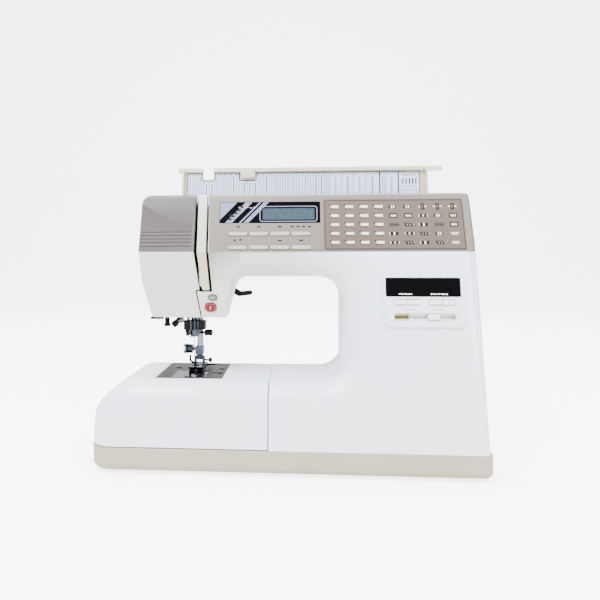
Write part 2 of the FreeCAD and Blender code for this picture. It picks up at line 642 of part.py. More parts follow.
def make_base():
    """Base pan: a shallow tray, decked over under the free arm, on four rubber feet."""
    x, y, z = (BED_LEFT, BODY_RIGHT), (BED_FRONT - 0.6, BACK), (FOOT_HEIGHT, PAN_TOP)

    def pan_plan(inset, z_range):
        left, right, front, back = x[0] + inset, x[1] - inset, y[0] + inset, y[1] - inset
        corners = [(left, front, ROLL - inset), (right, front, PAN_CORNER - inset),
                   (right, back, PAN_CORNER - inset), (left, back, PAN_CORNER - inset)]
        solid = Part.Face(rounded_wire(corners, on_xy)).extrude(Vector(0, 0, z_range[1] - z_range[0]))
        solid.translate(Vector(0, 0, z_range[0]))
        return solid
    pan = pan_plan(0, z)
    bottom = [e for e in pan.Edges if max(v.Z for v in e.Vertexes) < z[0] + 0.01]
    pan = pan.makeFillet(PAN_CORNER - 1, bottom)
    inside = pan_plan(WALL, (z[0] + WALL, z[1] + 1))
    deck_edge = SEAM_X + SEAM + WALL
    hollow = inside.cut(block((x[0], deck_edge), (y[0], 2 * BACK), (z[1] - WALL, z[1] + 2)))
    deck_behind = block((x[0], HARP_RIGHT), (BED_BACK, 2 * BACK), (z[1] - WALL, z[1] + 2))
    nodes["base_pan"] = pan.cut(hollow.cut(deck_behind))
    feet = []
    for fx in (x[0] + 26, x[1] - 24):
        for fy in (y[0] + 24, y[1] - 24):
            foot = rod(9, (fx, fy, 0), (fx, fy, FOOT_HEIGHT))
            feet.append(foot.makeFillet(1, [foot.Edges[i] for i in range(len(foot.Edges))
                                            if foot.Edges[i].BoundBox.ZMax < 0.01]))
    nodes["rubber_feet"] = Part.makeCompound(feet)


# ---------------------------------------------------------------- control panel and buttons
def key_button(centre, size, proud, back):
    """Push button with a flange behind the panel; back is the panel's thickness there."""
    stem = pill(centre, size, (-proud, back + 1.4))
    flange = pill(centre, (size[0] + 1.2, size[1] + 1.2), (back + 0.4, back + 1.4))
    return stem.fuse(flange)


def make_controls():
    number = 0
    for row in KEY_ROWS:
        for x in KEY_X:
            number += 1
            key = key_button((x, row), KEY_SIZE, KEY_PROUD, SKIN)
            nodes["function_key_%d" % number] = on_panel(key)
    x0, x1, v0, v1 = DISPLAY
    nodes["display_window"] = on_panel(slab((x0 + 0.1, x1 - 0.1), (v0 + 0.1, v1 - 0.1), 1, (0.0, 1.2)))
    x0, x1, v0, v1 = MEMBRANE
    nodes["stitch_membrane"] = on_panel(slab((x0 + 0.1, x1 - 0.1), (v0 + 0.1, v1 - 0.1), 1.4, (-0.25, 0.8)))
    nodes["speed_tablet"] = speed_tablet()
    for name, cx in zip(("width_rocker", "length_rocker"), ROCKER_X):
        nodes[name] = on_front(rocker(cx))
    knob = pill((SLIDER_KNOB_X, sum(SLIDER[2:]) / 2), SLIDER_KNOB, (-TABLET_T - 1.5, 0.5))
    tongue = block((SLIDER_KNOB_X - 3, SLIDER_KNOB_X + 3), (0.5, 6), (sum(SLIDER[2:]) / 2 - 1.5,
                                                                       sum(SLIDER[2:]) / 2 + 1.5))
    nodes["speed_slider"] = on_front(knob.fuse(tongue))
    for name, (cx, cz, w, h) in (("start_stop_button", START_BUTTON), ("needle_button", NEEDLE_BUTTON)):
        nodes[name] = on_head(key_button((cx, cz), (w, h), KEY_PROUD, WALL))
    board = slab((34, MEMBRANE[1]), (3, 54), 2, (7.5, 9.1))
    nodes["circuit_board"] = on_panel(board)


def speed_tablet():
    x0, x1, z0, z1 = TABLET
    body = slab((x0, x1), (z0, z1), 6, (-TABLET_T, 0.0))
    window = slab((x0 + 2, x1 - 4), (z1 - 28, z1 - 7.5), 1.5, (-TABLET_T - 1, -TABLET_T + 0.8))
    body = body.cut(window)
    for cx in ROCKER_X:
        body = body.cut(pill((cx, ROCKER_Z), (ROCKER_SIZE[0] + 2 * PLAY, ROCKER_SIZE[1] + 2 * PLAY), (-9, 9)))
    body = body.cut(slab(SLIDER[:2], SLIDER[2:], 1.5, (-9, 9)))
    return on_front(body)


def rocker(cx):
    """Two joined half keys that rock about an upright axis."""
    top = pill((cx, ROCKER_Z), ROCKER_SIZE, (-TABLET_T - 1.4, 1.6))
    split = block((cx - 0.4, cx + 0.4), (-TABLET_T - 2, -TABLET_T - 0.6),
                  (ROCKER_Z - ROCKER_SIZE[1], ROCKER_Z + ROCKER_SIZE[1]))
    return top.cut(split)


# ---------------------------------------------------------------- lid and thread compartment
def make_top():
    nodes["top_tray"] = top_tray()
    lid = turned(lid_shut(), (0, LID_Y, LID_Z), X_AXIS, -LID_OPEN)
    nodes["top_lid"] = lid
    y, z = sum(TRAY_Y) / 2, RECESS_FLOOR - TRAY_DEPTH / 2
    x = TRAY_X[0] + 24
    pin = rod(3, (x, y, z), (x + 82, y, z))
    nodes["spool_pin"] = fuse(pin, rod(11, (x + 82, y, z), (x + 84, y, z)), rod(8, (x, y, z), (x + 2, y, z)))
    wx = WINDER_X
    floor = RECESS_FLOOR - TRAY_DEPTH + 2
    spindle = fuse(rod(2.9, (wx, y, floor + 0.5), (wx, y, RECESS_FLOOR - 4)),
                   rod(10, (wx, y, floor + 0.5), (wx, y, floor + 3)))
    nodes["winder_spindle"] = spindle


def top_tray():
    wall = 2.0
    flange = plate((TRAY_X[0] - 3, TRAY_X[1] + 3), (TRAY_Y[0] - 2, LID_Y + 4.5), 3,
                   (RECESS_FLOOR, RECESS_FLOOR + 1.2))
    basin = plate(TRAY_X, TRAY_Y, 4, (RECESS_FLOOR - TRAY_DEPTH, RECESS_FLOOR + 0.5))
    room = plate(grow(TRAY_X, -wall), grow(TRAY_Y, -wall), 3,
                 (RECESS_FLOOR - TRAY_DEPTH + wall, RECESS_FLOOR + 5))
    tray = flange.fuse(basin).cut(room)
    x = TRAY_X[0] + 24
    y, z = sum(TRAY_Y) / 2, RECESS_FLOOR - TRAY_DEPTH / 2
    post = block((x - 4, x), (y - 8, y + 8), (RECESS_FLOOR - TRAY_DEPTH + 1, z + 9))
    tray = tray.fuse(post)
    for knuckle in KNUCKLE_X:
        bracket = fuse(block((knuckle - 6, knuckle), (LID_Y - 2.6, LID_Y + 2.6),
                             (RECESS_FLOOR + 0.5, LID_Z)),
                       rod(2.6, (knuckle - 6, LID_Y, LID_Z), (knuckle, LID_Y, LID_Z)),
                       rod(LID_PIN_R, (knuckle - 1, LID_Y, LID_Z), (knuckle + KNUCKLE_W, LID_Y, LID_Z)))
        tray = tray.fuse(bracket)
    return tray.removeSplitter()


def lid_shut():
    """The lid as it lies when shut."""
    front = LID_Y - LID_REACH
    plate_z = (TOP - LID_T, TOP)
    lid = plate(LID_X, (front, LID_Y + 3.0), 2, plate_z)
    for x in (LID_X[0], LID_X[1] - LID_T):
        lid = lid.fuse(block((x, x + LID_T), (front + 3, LID_Y - 6), (TOP - 8, TOP - 1)))
    lip = block((LID_EARS[0] + 3, LID_EARS[1] - 3), (front, front + 5), (TOP - 6.5, TOP))
    ears = plate(LID_EARS, (front, front + 5), 1, (TOP - 4.5, TOP - 0.2))
    lid = lid.fuse([lip, ears])
    lid = lid.cut(plate(NOTCH_X, (front - 8, front + 13.5), 3, (TOP - 10, TOP + 1)))
    boss = plate((NOTCH_X[0] + 48.3, NOTCH_X[1] + 53), (front + 1, front + 13), 3, (TOP - 6.5, TOP - 1))
    lid = lid.fuse(boss)
    for knuckle in KNUCKLE_X:
        x = (knuckle + 0.4, knuckle + KNUCKLE_W - 0.6)
        ring = fuse(rod(2.6, (x[0], LID_Y, LID_Z), (x[1], LID_Y, LID_Z)),
                    block(x, (LID_Y - 2.6, LID_Y + 2.6), (LID_Z, TOP - LID_T + 0.5)))
        bore = rod(LID_PIN_R + RUN, (x[0] - 1, LID_Y, LID_Z), (x[1] + 1, LID_Y, LID_Z))
        lid = lid.fuse(ring).cut(bore)
    return lid.removeSplitter()


# ---------------------------------------------------------------- bed parts round the needle


def make_bed_parts():
    z = (BED_TOP - PLATE_T + 0.02, BED_TOP)
    body = plate(PLATE_X, PLATE_Y, 1.8, z)
    body = body.cut(plate(grow(COVER_X, 0.35), grow(COVER_Y, 0.35), 1.5, (z[0] - 1, z[1] + 1)))
    cx, (width, gap) = CENTRE_X, NEEDLE_SLOT
    body = body.cut(plate((cx - width / 2, cx + width / 2), (-gap / 2, gap / 2), 1.2, (z[0] - 1, z[1] + 1)))
    reach = FEED_STROKE + PLAY
    for y in ((FEED_Y[0] - reach, -gap / 2 - 1), (gap / 2 + 1, FEED_Y[1] + reach)):
        for x in FEED_BARS_X:
            slot = block((x - FEED_BAR_W / 2 - 0.4, x + FEED_BAR_W / 2 + 0.4), y, (z[0] - 1, z[1] + 1))
            body = body.cut(slot)
    body = body.cut(block(BUTTON_SLOT_X, BUTTON_SLOT_Y, (z[0] - 1, z[1] + 1)))
    nodes["needle_plate"] = body

    cover = plate(COVER_X, COVER_Y, 1.2, (BED_TOP - 1.6, BED_TOP))
    nodes["bobbin_cover"] = cover
    bx, by = BUTTON_SLOT_X, BUTTON_SLOT_Y
    button = block((bx[0] + 0.5, bx[0] + 7), (by[0] + 0.5, by[1] - 0.5), (BED_TOP - 6, BED_TOP - 0.3))
    nodes["cover_release_button"] = button

    nodes["feed_dog"] = feed_dog()
    make_hook()


def feed_dog():
    """Toothed bars, in front of and behind the needle, on one carrier below the plate."""
    top = BED_TOP - 0.5
    bars = []
    for y in ((FEED_Y[0], -4.6 - 0.4), (4.6 + 0.4, FEED_Y[1])):
        for x in FEED_BARS_X:
            bars.append(block((x - FEED_BAR_W / 2, x + FEED_BAR_W / 2), y, (top - 7, top)))
    carrier = block((FEED_BARS_X[0] - 1, FEED_BARS_X[-1] + 1), (4.8, FEED_Y[1]), (top - 9, top - 4.5))
    front = block((FEED_BARS_X[0] - 1, FEED_BARS_X[-1] + 1), (FEED_Y[0], -4.8), (top - 9, top - 4.5))
    links = [block((x - 1, x + 1), (FEED_Y[0], FEED_Y[1]), (top - 9, top - 6))
             for x in (FEED_BARS_X[0] - 2, FEED_BARS_X[-1] + 2)]
    return carrier.fuse(bars + links + [front]).removeSplitter()


def make_hook():
    """Drop-in rotary hook: hook basket turns about an upright axis round a still bobbin case."""
    cx, cy = CENTRE_X - 1, HOOK_Y
    bottom = HOOK_TOP - 15
    cup = rod(HOOK_R, (cx, cy, bottom), (cx, cy, HOOK_TOP))
    cup = cup.cut(rod(HOOK_R - 2, (cx, cy, bottom + 2), (cx, cy, HOOK_TOP + 1)))
    stem = rod(3.5, (cx, cy, LOWER_Z + 7), (cx, cy, bottom + 1))
    gear = cone(9, 5.5, (cx, cy, LOWER_Z + 6.5), (cx, cy, LOWER_Z + 3.0 + 7.0))
    nodes["rotary_hook"] = fuse(cup, stem, gear)
    case = rod(HOOK_R - 2.5, (cx, cy, bottom + 2.5), (cx, cy, HOOK_TOP + 1.5))
    case = case.cut(rod(BOBBIN_R + 1.5, (cx, cy, bottom + 4), (cx, cy, HOOK_TOP + 5)))
    horn = block((cx - HOOK_R + 4, cx - HOOK_R + 10), (cy - 6, cy + 6), (HOOK_TOP, HOOK_TOP + 3))
    nodes["bobbin_case"] = case.fuse(horn).removeSplitter()
    base = bottom + 4.5
    spool = rod(BOBBIN_R, (cx, cy, base), (cx, cy, base + BOBBIN_H))
    spool = spool.cut(rod(BOBBIN_R + 1, (cx, cy, base + 1), (cx, cy, base + BOBBIN_H - 1)).cut(
        rod(4, (cx, cy, base), (cx, cy, base + BOBBIN_H))))
    nodes["bobbin"] = spool.cut(rod(3, (cx, cy, base - 1), (cx, cy, base + BOBBIN_H + 1)))


# ---------------------------------------------------------------- needle, foot and head parts


def make_needle_parts():
    side = block((-10.5, -7), (-5, 5), FRAME_Z)
    low = block((-10.5, 5), (-5, 5), (FRAME_Z[0], FRAME_Z[0] + 8))
    high = block((-10.5, 5), (-5, 5), (FRAME_Z[1] - 10, PIVOT_Z + 6))
    frame = fuse(side, low, high)
    frame = frame.cut(rod(NEEDLE_BAR_R + RUN, (0, 0, FRAME_Z[0] - 1), (0, 0, BAR_TOP + 7)))
    frame = frame.cut(rod(3 + RUN, (0, -6, PIVOT_Z), (0, 6, PIVOT_Z)))
    nodes["needle_bar_frame"] = frame
    nodes["needle_bar"] = rod(NEEDLE_BAR_R, (0, 0, CLAMP_Z + 9), (0, 0, BAR_TOP))

    clamp = fuse(rod(5.2, (0, 0, CLAMP_Z), (0, 0, CLAMP_Z + 9)),
                 block((0, 7), (-3.5, 3.5), (CLAMP_Z + 1, CLAMP_Z + 8)))
    clamp = clamp.cut(rod(1.05, (0, 0, CLAMP_Z - 1), (0, 0, CLAMP_Z + 8)))
    clamp = clamp.cut(rod(1.5 + RUN, (1.5, 0, CLAMP_Z + 4.6), (8, 0, CLAMP_Z + 4.6)))
    nodes["needle_clamp"] = clamp
    tip = BED_TOP + NEEDLE_TIP
    nodes["needle"] = fuse(cone(0.1, 0.45, (0, 0, tip), (0, 0, tip + 6)),
                           rod(0.45, (0, 0, tip + 6), (0, 0, CLAMP_Z - 2)),
                           cone(0.45, 1.0, (0, 0, CLAMP_Z - 2), (0, 0, CLAMP_Z - 1)),
                           rod(1.0, (0, 0, CLAMP_Z - 1), (0, 0, tip + NEEDLE_LENGTH - 2)))
    screw_z = CLAMP_Z + 4.6
    nodes["needle_clamp_screw"] = fuse(rod(1.5, (1.8, 0, screw_z), (14, 0, screw_z)),
                                       rod(3.7, (13.4, 0, screw_z), (22.4, 0, screw_z)))
    block_z = (CLAMP_Z + 9, CLAMP_Z + 20)
    bore = rod(NEEDLE_BAR_R, (0, 0, block_z[0] - 1), (0, 0, block_z[1] + 1))
    head = block((-11.3, 11), (-9, 4.6), block_z).cut(bore)
    arm = block((-9, -5.6), (-8, 3), (CLAMP_Z + 1.5, block_z[0] + 1))
    for x, y in (((-3, -1.6), (-10, -6)), ((3.4, 8), (-10, -7))):
        head = head.cut(block(x, y, grow(block_z, 1)))
    nodes["threader_head"] = head.fuse(arm).removeSplitter()

    make_presser()
    make_head_levers()


def make_presser():
    px, py = CENTRE_X + 1, PRESSER_Y
    foot_top = BED_TOP + 14
    nodes["presser_bar"] = rod(PRESSER_BAR_R, (px, py, foot_top + 10), (px, py, LEVER_Z - 8))
    # holder on the end of the bar: a cheek for the screw and a shank down to the foot's pin
    cheek = block((px - 5, px + 4.6), (py - 6.0, py + 5.5), (foot_top, foot_top + 10))
    shank = block((px - 3.4, px + 3.4), (py - 5.8, py + 1.6), (foot_top - 6.4, foot_top + 1))
    pin_z = foot_top - 3.6
    screw_z = foot_top + 6.5
    screw_y = py - 1.0
    holder = fuse(cheek, shank)
    holder = holder.cut(rod(FOOT_PIN_R + RUN, (px - 6, FOOT_PIN_Y, pin_z), (px + 6, FOOT_PIN_Y, pin_z)))
    nodes["foot_holder"] = holder.cut(rod(2 + RUN, (px - 7, screw_y, screw_z), (px, screw_y, screw_z)))
    nodes["foot_screw"] = fuse(rod(2, (px - 10, screw_y, screw_z), (px - 0.5, screw_y, screw_z)),
                               rod(5.5, (px - 15.2, screw_y, screw_z), (px - 8.8, screw_y, screw_z)))
    nodes["zigzag_foot"] = zigzag_foot(px, pin_z)
    z = pin_z + LOCK_DROP
    nodes["foot_lock_button"] = fuse(rod(1.1, (px + 5.6, FOOT_PIN_Y, z), (px + 12, FOOT_PIN_Y, z)),
                                     rod(2.9, (px + 11.6, FOOT_PIN_Y, z), (px + 15.2, FOOT_PIN_Y, z)))


def zigzag_foot(px, pin_z):
    """Sole with two toes, two ears and the pin the holder snaps on to."""
    low, high = BED_TOP + 0.4, BED_TOP + 2.6
    section = [(-18.5, low + 3.6, 0), (-17.8, low + 2.6, 0), (-13.5, low, 0), (FOOT_PIN_Y + 1.4, low, 0),
               (15.5, low + 1.8, 0), (15.5, high + 0.6, 0), (12, high, 0), (-12.5, high, 0),
               (-17.6, low + 4.6, 0)]
    foot = side_prism(section, (px - 8.3, px + 8.3))
    foot = foot.cut(block((px - 1.2, px + 1.2), (-20, 0), (low - 5, high + 8)))
    foot = foot.cut(plate((px - 6.6, px + 6.2), (-2.2, 2.2), 1.5, (low - 5, high + 5)))
    for x in ((px - 6.4, px - 3.8), (px + 3.8, px + 6.4)):
        ear = side_prism([(FOOT_PIN_Y - 3.4, high - 0.6, 0), (FOOT_PIN_Y + 3.6, high - 0.6, 0),
                          (FOOT_PIN_Y + 2.2, pin_z + 2, 1), (FOOT_PIN_Y - 2.4, pin_z + 2, 1)], x)
        foot = foot.fuse(ear)
    foot = foot.fuse(rod(FOOT_PIN_R, (px - 5, FOOT_PIN_Y, pin_z), (px + 5, FOOT_PIN_Y, pin_z)))
    z = pin_z + LOCK_DROP
    return foot.cut(rod(1.1 + RUN, (px + 3, FOOT_PIN_Y, z), (px + 8, FOOT_PIN_Y, z))).removeSplitter()


def make_head_levers():
    x, y = THREADER_X, THREADER_Y
    knob = fuse(rod(THREADER_R, (x, y, HEAD_BOTTOM - 12), (x, y, HEAD_BOTTOM + 36)),
                cone(3.4, THREADER_R, (x, y, HEAD_BOTTOM - 15), (x, y, HEAD_BOTTOM - 11)))
    nodes["needle_threader"] = knob
    x, y = BUTTONHOLE_X, BUTTONHOLE_Y
    nodes["buttonhole_lever"] = fuse(rod(1.6, (x, y, HEAD_BOTTOM - 4), (x, y, HEAD_BOTTOM + 50)),
                                     rod(3.2, (x - 6.5, y - 2.5, HEAD_BOTTOM - 14),
                                         (x + 1.5, y + 0.5, HEAD_BOTTOM - 6)))
    # presser lifter: shaft through the back of the head and a cranked handle behind it
    front = PRESSER_Y + PRESSER_BAR_R + 2
    shaft = rod(LEVER_SHAFT_R, (LEVER_X, front, LEVER_Z), (LEVER_X, BACK + 7, LEVER_Z))
    low = LEVER_Z - LEVER_DROP
    handle = front_prism([(LEVER_X - 5, LEVER_Z - 5, 4), (47.0, low - 6.0, 2), (65.5, low - 3.6, 2.4),
                          (65.5, low + 2.6, 2.4), (49.5, low + 1.0, 3), (LEVER_X + 4, LEVER_Z + 6, 4),
                          (LEVER_X - 5, LEVER_Z + 5, 4)], (BACK + 1.5, BACK + 6.5))
    cam = slab(grow((LEVER_X, LEVER_X), 6), grow((LEVER_Z, LEVER_Z), 6), 2, (front, front + 5))
    nodes["lifter_lever"] = fuse(shaft, handle, cam)
    # take-up lever in the left thread slot
    cx = (slot_line(0, CREST_Z) + slot_line(0, TOP)) / 2 + SLOT_WIDTH / 2
    arm = side_prism([(TAKE_UP_Y - 4, TAKE_UP_Z - 3, 2), (TAKE_UP_Y + 4, TAKE_UP_Z - 4, 2),
                      (TAKE_UP_Y + 4, TAKE_UP_Z + 5, 2), (-38, TOP - 15.5, 3), (-46.5, TOP - 7, 1.2),
                      (-47.5, TOP - 12, 1.2), (-38, TOP - 19, 3)],
                     (cx - 0.7, cx + 0.7))
    hub = rod(4.5, (cx - 3, TAKE_UP_Y, TAKE_UP_Z), (cx + 3, TAKE_UP_Y, TAKE_UP_Z))
    lever = fuse(arm, hub).cut(rod(2.5 + RUN, (cx - 5, TAKE_UP_Y, TAKE_UP_Z), (cx + 5, TAKE_UP_Y, TAKE_UP_Z)))
    nodes["take_up_lever"] = lever.cut(rod(1.2, (cx - 5, -43.5, TOP - 10.4), (cx + 5, -43.5, TOP - 10.4)))


# ---------------------------------------------------------------- drive inside the casing
def make_drive():
    wheel_end = WHEEL_X[0] + 8
    start = 30.6
    nodes["main_shaft"] = fuse(rod(SHAFT_R, (start, SHAFT_Y, SHAFT_Z), (wheel_end, SHAFT_Y, SHAFT_Z)),
                               rod(11, (start, SHAFT_Y, SHAFT_Z), (start + 2.9, SHAFT_Y, SHAFT_Z)),
                               pulley(SHAFT_Y, SHAFT_Z))
    nodes["handwheel"] = handwheel()
    gear = cone(5.0, 8.0, (CENTRE_X + 8.0, HOOK_Y, LOWER_Z), (CENTRE_X + 12.0, HOOK_Y, LOWER_Z))
    nodes["lower_shaft"] = fuse(rod(4, (CENTRE_X + 8, HOOK_Y, LOWER_Z), (BELT_X + 6, HOOK_Y, LOWER_Z)), gear,
                                pulley(HOOK_Y, LOWER_Z))
    nodes["drive_belt"] = belt((SHAFT_Y, SHAFT_Z), (HOOK_Y, LOWER_Z))
    motor = fuse(rod(26, (MOTOR_X[0], MOTOR_Y, MOTOR_Z), (MOTOR_X[1], MOTOR_Y, MOTOR_Z)),
                 rod(4, (MOTOR_X[1], MOTOR_Y, MOTOR_Z), (MOTOR_X[1] + 14, MOTOR_Y, MOTOR_Z)))
    nodes["motor"] = motor
    nodes["cast_frame"] = cast_frame()


def pulley(y, z):
    half = BELT_WIDTH / 2 + 1.5
    return rod(PULLEY_R, (BELT_X - half, y, z), (BELT_X + half, y, z))


def belt(upper, lower):
    """Flat belt round two equal pulleys, 0.4 mm clear of them."""
    (y0, z0), (y1, z1) = upper, lower
    inner, outer = PULLEY_R + 0.4, PULLEY_R + 0.4 + BELT_T
    x = (BELT_X - BELT_WIDTH / 2, BELT_X + BELT_WIDTH / 2)

    def loop(radius):
        along = Vector(0, y1 - y0, z1 - z0)
        side = Vector(0, along.z, -along.y).normalize() * radius
        middle = side_prism([(y0 + side.y, z0 + side.z, 0), (y1 + side.y, z1 + side.z, 0),
                             (y1 - side.y, z1 - side.z, 0), (y0 - side.y, z0 - side.z, 0)], x)
        ends = [rod(radius, (x[0], y, z), (x[1], y, z)) for y, z in (upper, lower)]
        return middle.fuse(ends)
    return loop(outer).cut(loop(inner)).removeSplitter()


def handwheel():
    x0, x1 = WHEEL_X
    wheel = rod(WHEEL_R, (x0, SHAFT_Y, SHAFT_Z), (x1, SHAFT_Y, SHAFT_Z))
    edges = [e for e in wheel.Edges if e.Length > 2 * WHEEL_R and e.BoundBox.XLength < 0.01]
    wheel = wheel.makeFillet(4.5, edges)
    dish = cone(WHEEL_R - 12, WHEEL_R - 15, (x1 - 3, SHAFT_Y, SHAFT_Z), (x1 + 0.01, SHAFT_Y, SHAFT_Z))
    wheel = wheel.cut(dish)
    wheel = wheel.cut(rod(WHEEL_R - 6, (x0 - 1, SHAFT_Y, SHAFT_Z), (x0 + 10, SHAFT_Y, SHAFT_Z)))
    hub = rod(12, (x0, SHAFT_Y, SHAFT_Z), (x0 + 11, SHAFT_Y, SHAFT_Z))
    wheel = wheel.fuse(hub)
    return wheel.cut(rod(SHAFT_R, (x0 - 1, SHAFT_Y, SHAFT_Z), (x0 + 8, SHAFT_Y, SHAFT_Z))).removeSplitter()


def cast_frame():
    """Cast skeleton: arm beam, column plate and bed beam with the bearings of every shaft."""
    back, column = CAST_Y, HARP_RIGHT + SPREAD[1] + 4
    low = CAST_RIGHT - 2
    parts = [block((-20, CAST_RIGHT), back, (SHAFT_Z - 18, SHAFT_Z + 26)),
             block((column, CAST_RIGHT), back, (34, SHAFT_Z)),
             block((-44, low), (2, 10), (LOWER_Z - 8, LOWER_Z + 8)),
             block((column, low), (2, back[1]), (LOWER_Z - 8, LOWER_Z))]
    for x in (34, CAST_RIGHT - 10):
        parts.append(block((x, x + 10), (SHAFT_Y - 9, back[0] + 1), (SHAFT_Z - 9, SHAFT_Z + 9)))
    for x in (32, CAST_RIGHT - 16):
        parts.append(block((x, x + 10), (HOOK_Y - 7, 3), (LOWER_Z - 7, LOWER_Z + 7)))
    px = CENTRE_X + 1
    above = (HEAD_BOTTOM + 10, HEAD_BOTTOM + 20)
    parts.append(block((px - 7, px + 7), (PRESSER_Y - 6.5, back[0] + 1), above))
    parts.append(rod(3, (0, -8, PIVOT_Z), (0, back[0] + 1, PIVOT_Z)))
    x0, x1 = TAKE_UP_PIN_X
    parts.append(rod(2.5, (x0, TAKE_UP_Y, TAKE_UP_Z), (x1, TAKE_UP_Y, TAKE_UP_Z)))
    parts.append(block((x1 - 8, x1), (TAKE_UP_Y - 5, back[0] + 1), (TAKE_UP_Z - 5, TAKE_UP_Z + 5)))
    parts.append(block((LEVER_X - 10, LEVER_X + 8), back, (HEAD_BOTTOM + 10, SHAFT_Z)))
    hook_x = CENTRE_X - 1
    parts.append(block((hook_x - 16, hook_x + 8), (HOOK_Y - 7, 3), (LOWER_Z + 11, LOWER_Z + 15)))
    parts.append(block((hook_x - 16, hook_x - 10), (HOOK_Y - 7, 3), (LOWER_Z, LOWER_Z + 15)))
    frame = parts[0].fuse(parts[1:])
    cuts = [rod(SHAFT_R + RUN, (20, SHAFT_Y, SHAFT_Z), (BODY_RIGHT, SHAFT_Y, SHAFT_Z)),
            rod(4 + RUN, (20, HOOK_Y, LOWER_Z), (BODY_RIGHT, HOOK_Y, LOWER_Z)),
            rod(PRESSER_BAR_R + RUN, (px, PRESSER_Y, HEAD_BOTTOM), (px, PRESSER_Y, HEAD_BOTTOM + 40)),
            rod(LEVER_SHAFT_R + RUN, (LEVER_X, back[0] - 5, LEVER_Z), (LEVER_X, BACK, LEVER_Z)),
            rod(3.5 + RUN, (hook_x, HOOK_Y, LOWER_Z), (hook_x, HOOK_Y, LOWER_Z + 20))]
    for cut in cuts:
        frame = frame.cut(cut)
    return frame.removeSplitter()


def make_power():
    z, (y0, y1), (z0, z1) = SWITCH_Z, grow(SWITCH_Y, -PLAY), grow(SWITCH_Z, -PLAY)
    switch = side_prism([(y0, z0, 1), (y1, z0, 1), (y1, z1, 1), (y0, z1, 1)],
                        (BODY_RIGHT - 8, BODY_RIGHT + 1.2))
    nodes["power_switch"] = switch
    y = INLET_Y
    body = block((BODY_RIGHT - 22, BODY_RIGHT + 0.6), grow(y, -0.15), grow(z, -0.15))
    rim = block((BODY_RIGHT, BODY_RIGHT + 1.6), grow(y, 2), grow(z, 2))
    (y0, y1), (z0, z1) = grow(y, -3), grow(z, -2.5)
    socket = side_prism([(y0, z0, 2), (y1, z0, 2), (y1, z1, 2), (y0, z1, 2)], (BODY_RIGHT - 17, BODY_RIGHT + 5))
    inlet = body.fuse(rim).cut(socket)
    for dy in (-5, 5):
        inlet = inlet.fuse(rod(1.2, (BODY_RIGHT - 18, sum(y) / 2 + dy, sum(z) / 2),
                               (BODY_RIGHT - 4, sum(y) / 2 + dy, sum(z) / 2)))
    nodes["power_inlet"] = inlet.removeSplitter()


# ---------------------------------------------------------------- build and write
def whole_box():
    box = FreeCAD.BoundBox()
    for shape in nodes.values():
        box.add(shape.optimalBoundingBox(False))
    return box


def export():
    os.makedirs("parts", exist_ok=True)
    box = whole_box()
    shift = Vector(-box.Center.x, -box.Center.y, -box.ZMin)
    for name, shape in sorted(nodes.items()):
        moved = shape.copy()
        moved.translate(shift)
        moved.exportStep("parts/%s.step" % name)
        print("%-22s solids %d valid %s volume %.1f cm3" % (name, len(shape.Solids), shape.isValid(),
                                                         shape.Volume / 1000))
    print("nodes", len(nodes), "box", [round(v, 2) for v in (box.XLength, box.YLength, box.ZLength)],
          "shift", [round(v, 3) for v in shift])
    return shift


make_casing()
make_base()
make_controls()
make_top()
make_bed_parts()
make_needle_parts()
make_drive()
make_power()
SHIFT = export()
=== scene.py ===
# %% [markdown]
# # A free-arm sewing machine
#
# The mechanical model gives every piece its size, place and joint. This script gives the same
# pieces their looks: softened moulding edges, plastics and metals with a surface, and the small
# things that are too fine for the mechanical model, such as printing, screws and thread guides.
#
# Everything is in metres. Small places are easier to think of in millimetres from the needle,
# with x to the right, y to the back and z up from the table, so one helper turns those into metres.

import json
import math

import bmesh
import bpy
import numpy as np
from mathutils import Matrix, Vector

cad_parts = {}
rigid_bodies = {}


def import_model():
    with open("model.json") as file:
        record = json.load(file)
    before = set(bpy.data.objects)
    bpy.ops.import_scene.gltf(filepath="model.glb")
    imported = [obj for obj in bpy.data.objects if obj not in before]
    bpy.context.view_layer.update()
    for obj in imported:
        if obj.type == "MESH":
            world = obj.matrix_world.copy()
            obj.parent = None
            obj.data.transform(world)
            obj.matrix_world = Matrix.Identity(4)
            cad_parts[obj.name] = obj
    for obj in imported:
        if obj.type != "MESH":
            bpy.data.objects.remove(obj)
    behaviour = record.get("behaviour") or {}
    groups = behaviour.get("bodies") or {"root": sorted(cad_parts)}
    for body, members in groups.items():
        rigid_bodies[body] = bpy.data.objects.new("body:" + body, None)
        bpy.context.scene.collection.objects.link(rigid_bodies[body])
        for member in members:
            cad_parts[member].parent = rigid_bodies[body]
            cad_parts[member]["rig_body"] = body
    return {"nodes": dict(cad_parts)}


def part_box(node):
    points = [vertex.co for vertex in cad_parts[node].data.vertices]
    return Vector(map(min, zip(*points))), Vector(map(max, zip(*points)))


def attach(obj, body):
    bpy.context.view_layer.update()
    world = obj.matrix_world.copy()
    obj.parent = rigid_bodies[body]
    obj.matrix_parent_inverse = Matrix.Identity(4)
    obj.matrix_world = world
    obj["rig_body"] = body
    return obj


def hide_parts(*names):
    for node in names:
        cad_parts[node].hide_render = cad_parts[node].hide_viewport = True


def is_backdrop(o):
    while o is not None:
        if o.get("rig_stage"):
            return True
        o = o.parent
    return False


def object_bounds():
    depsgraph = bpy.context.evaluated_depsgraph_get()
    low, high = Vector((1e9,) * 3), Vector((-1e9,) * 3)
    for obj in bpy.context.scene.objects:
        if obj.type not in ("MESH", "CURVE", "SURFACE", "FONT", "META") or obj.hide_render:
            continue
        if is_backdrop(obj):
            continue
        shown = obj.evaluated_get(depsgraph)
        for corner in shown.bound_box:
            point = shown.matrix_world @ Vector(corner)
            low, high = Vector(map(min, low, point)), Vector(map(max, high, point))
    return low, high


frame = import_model()
cad_low, cad_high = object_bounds()

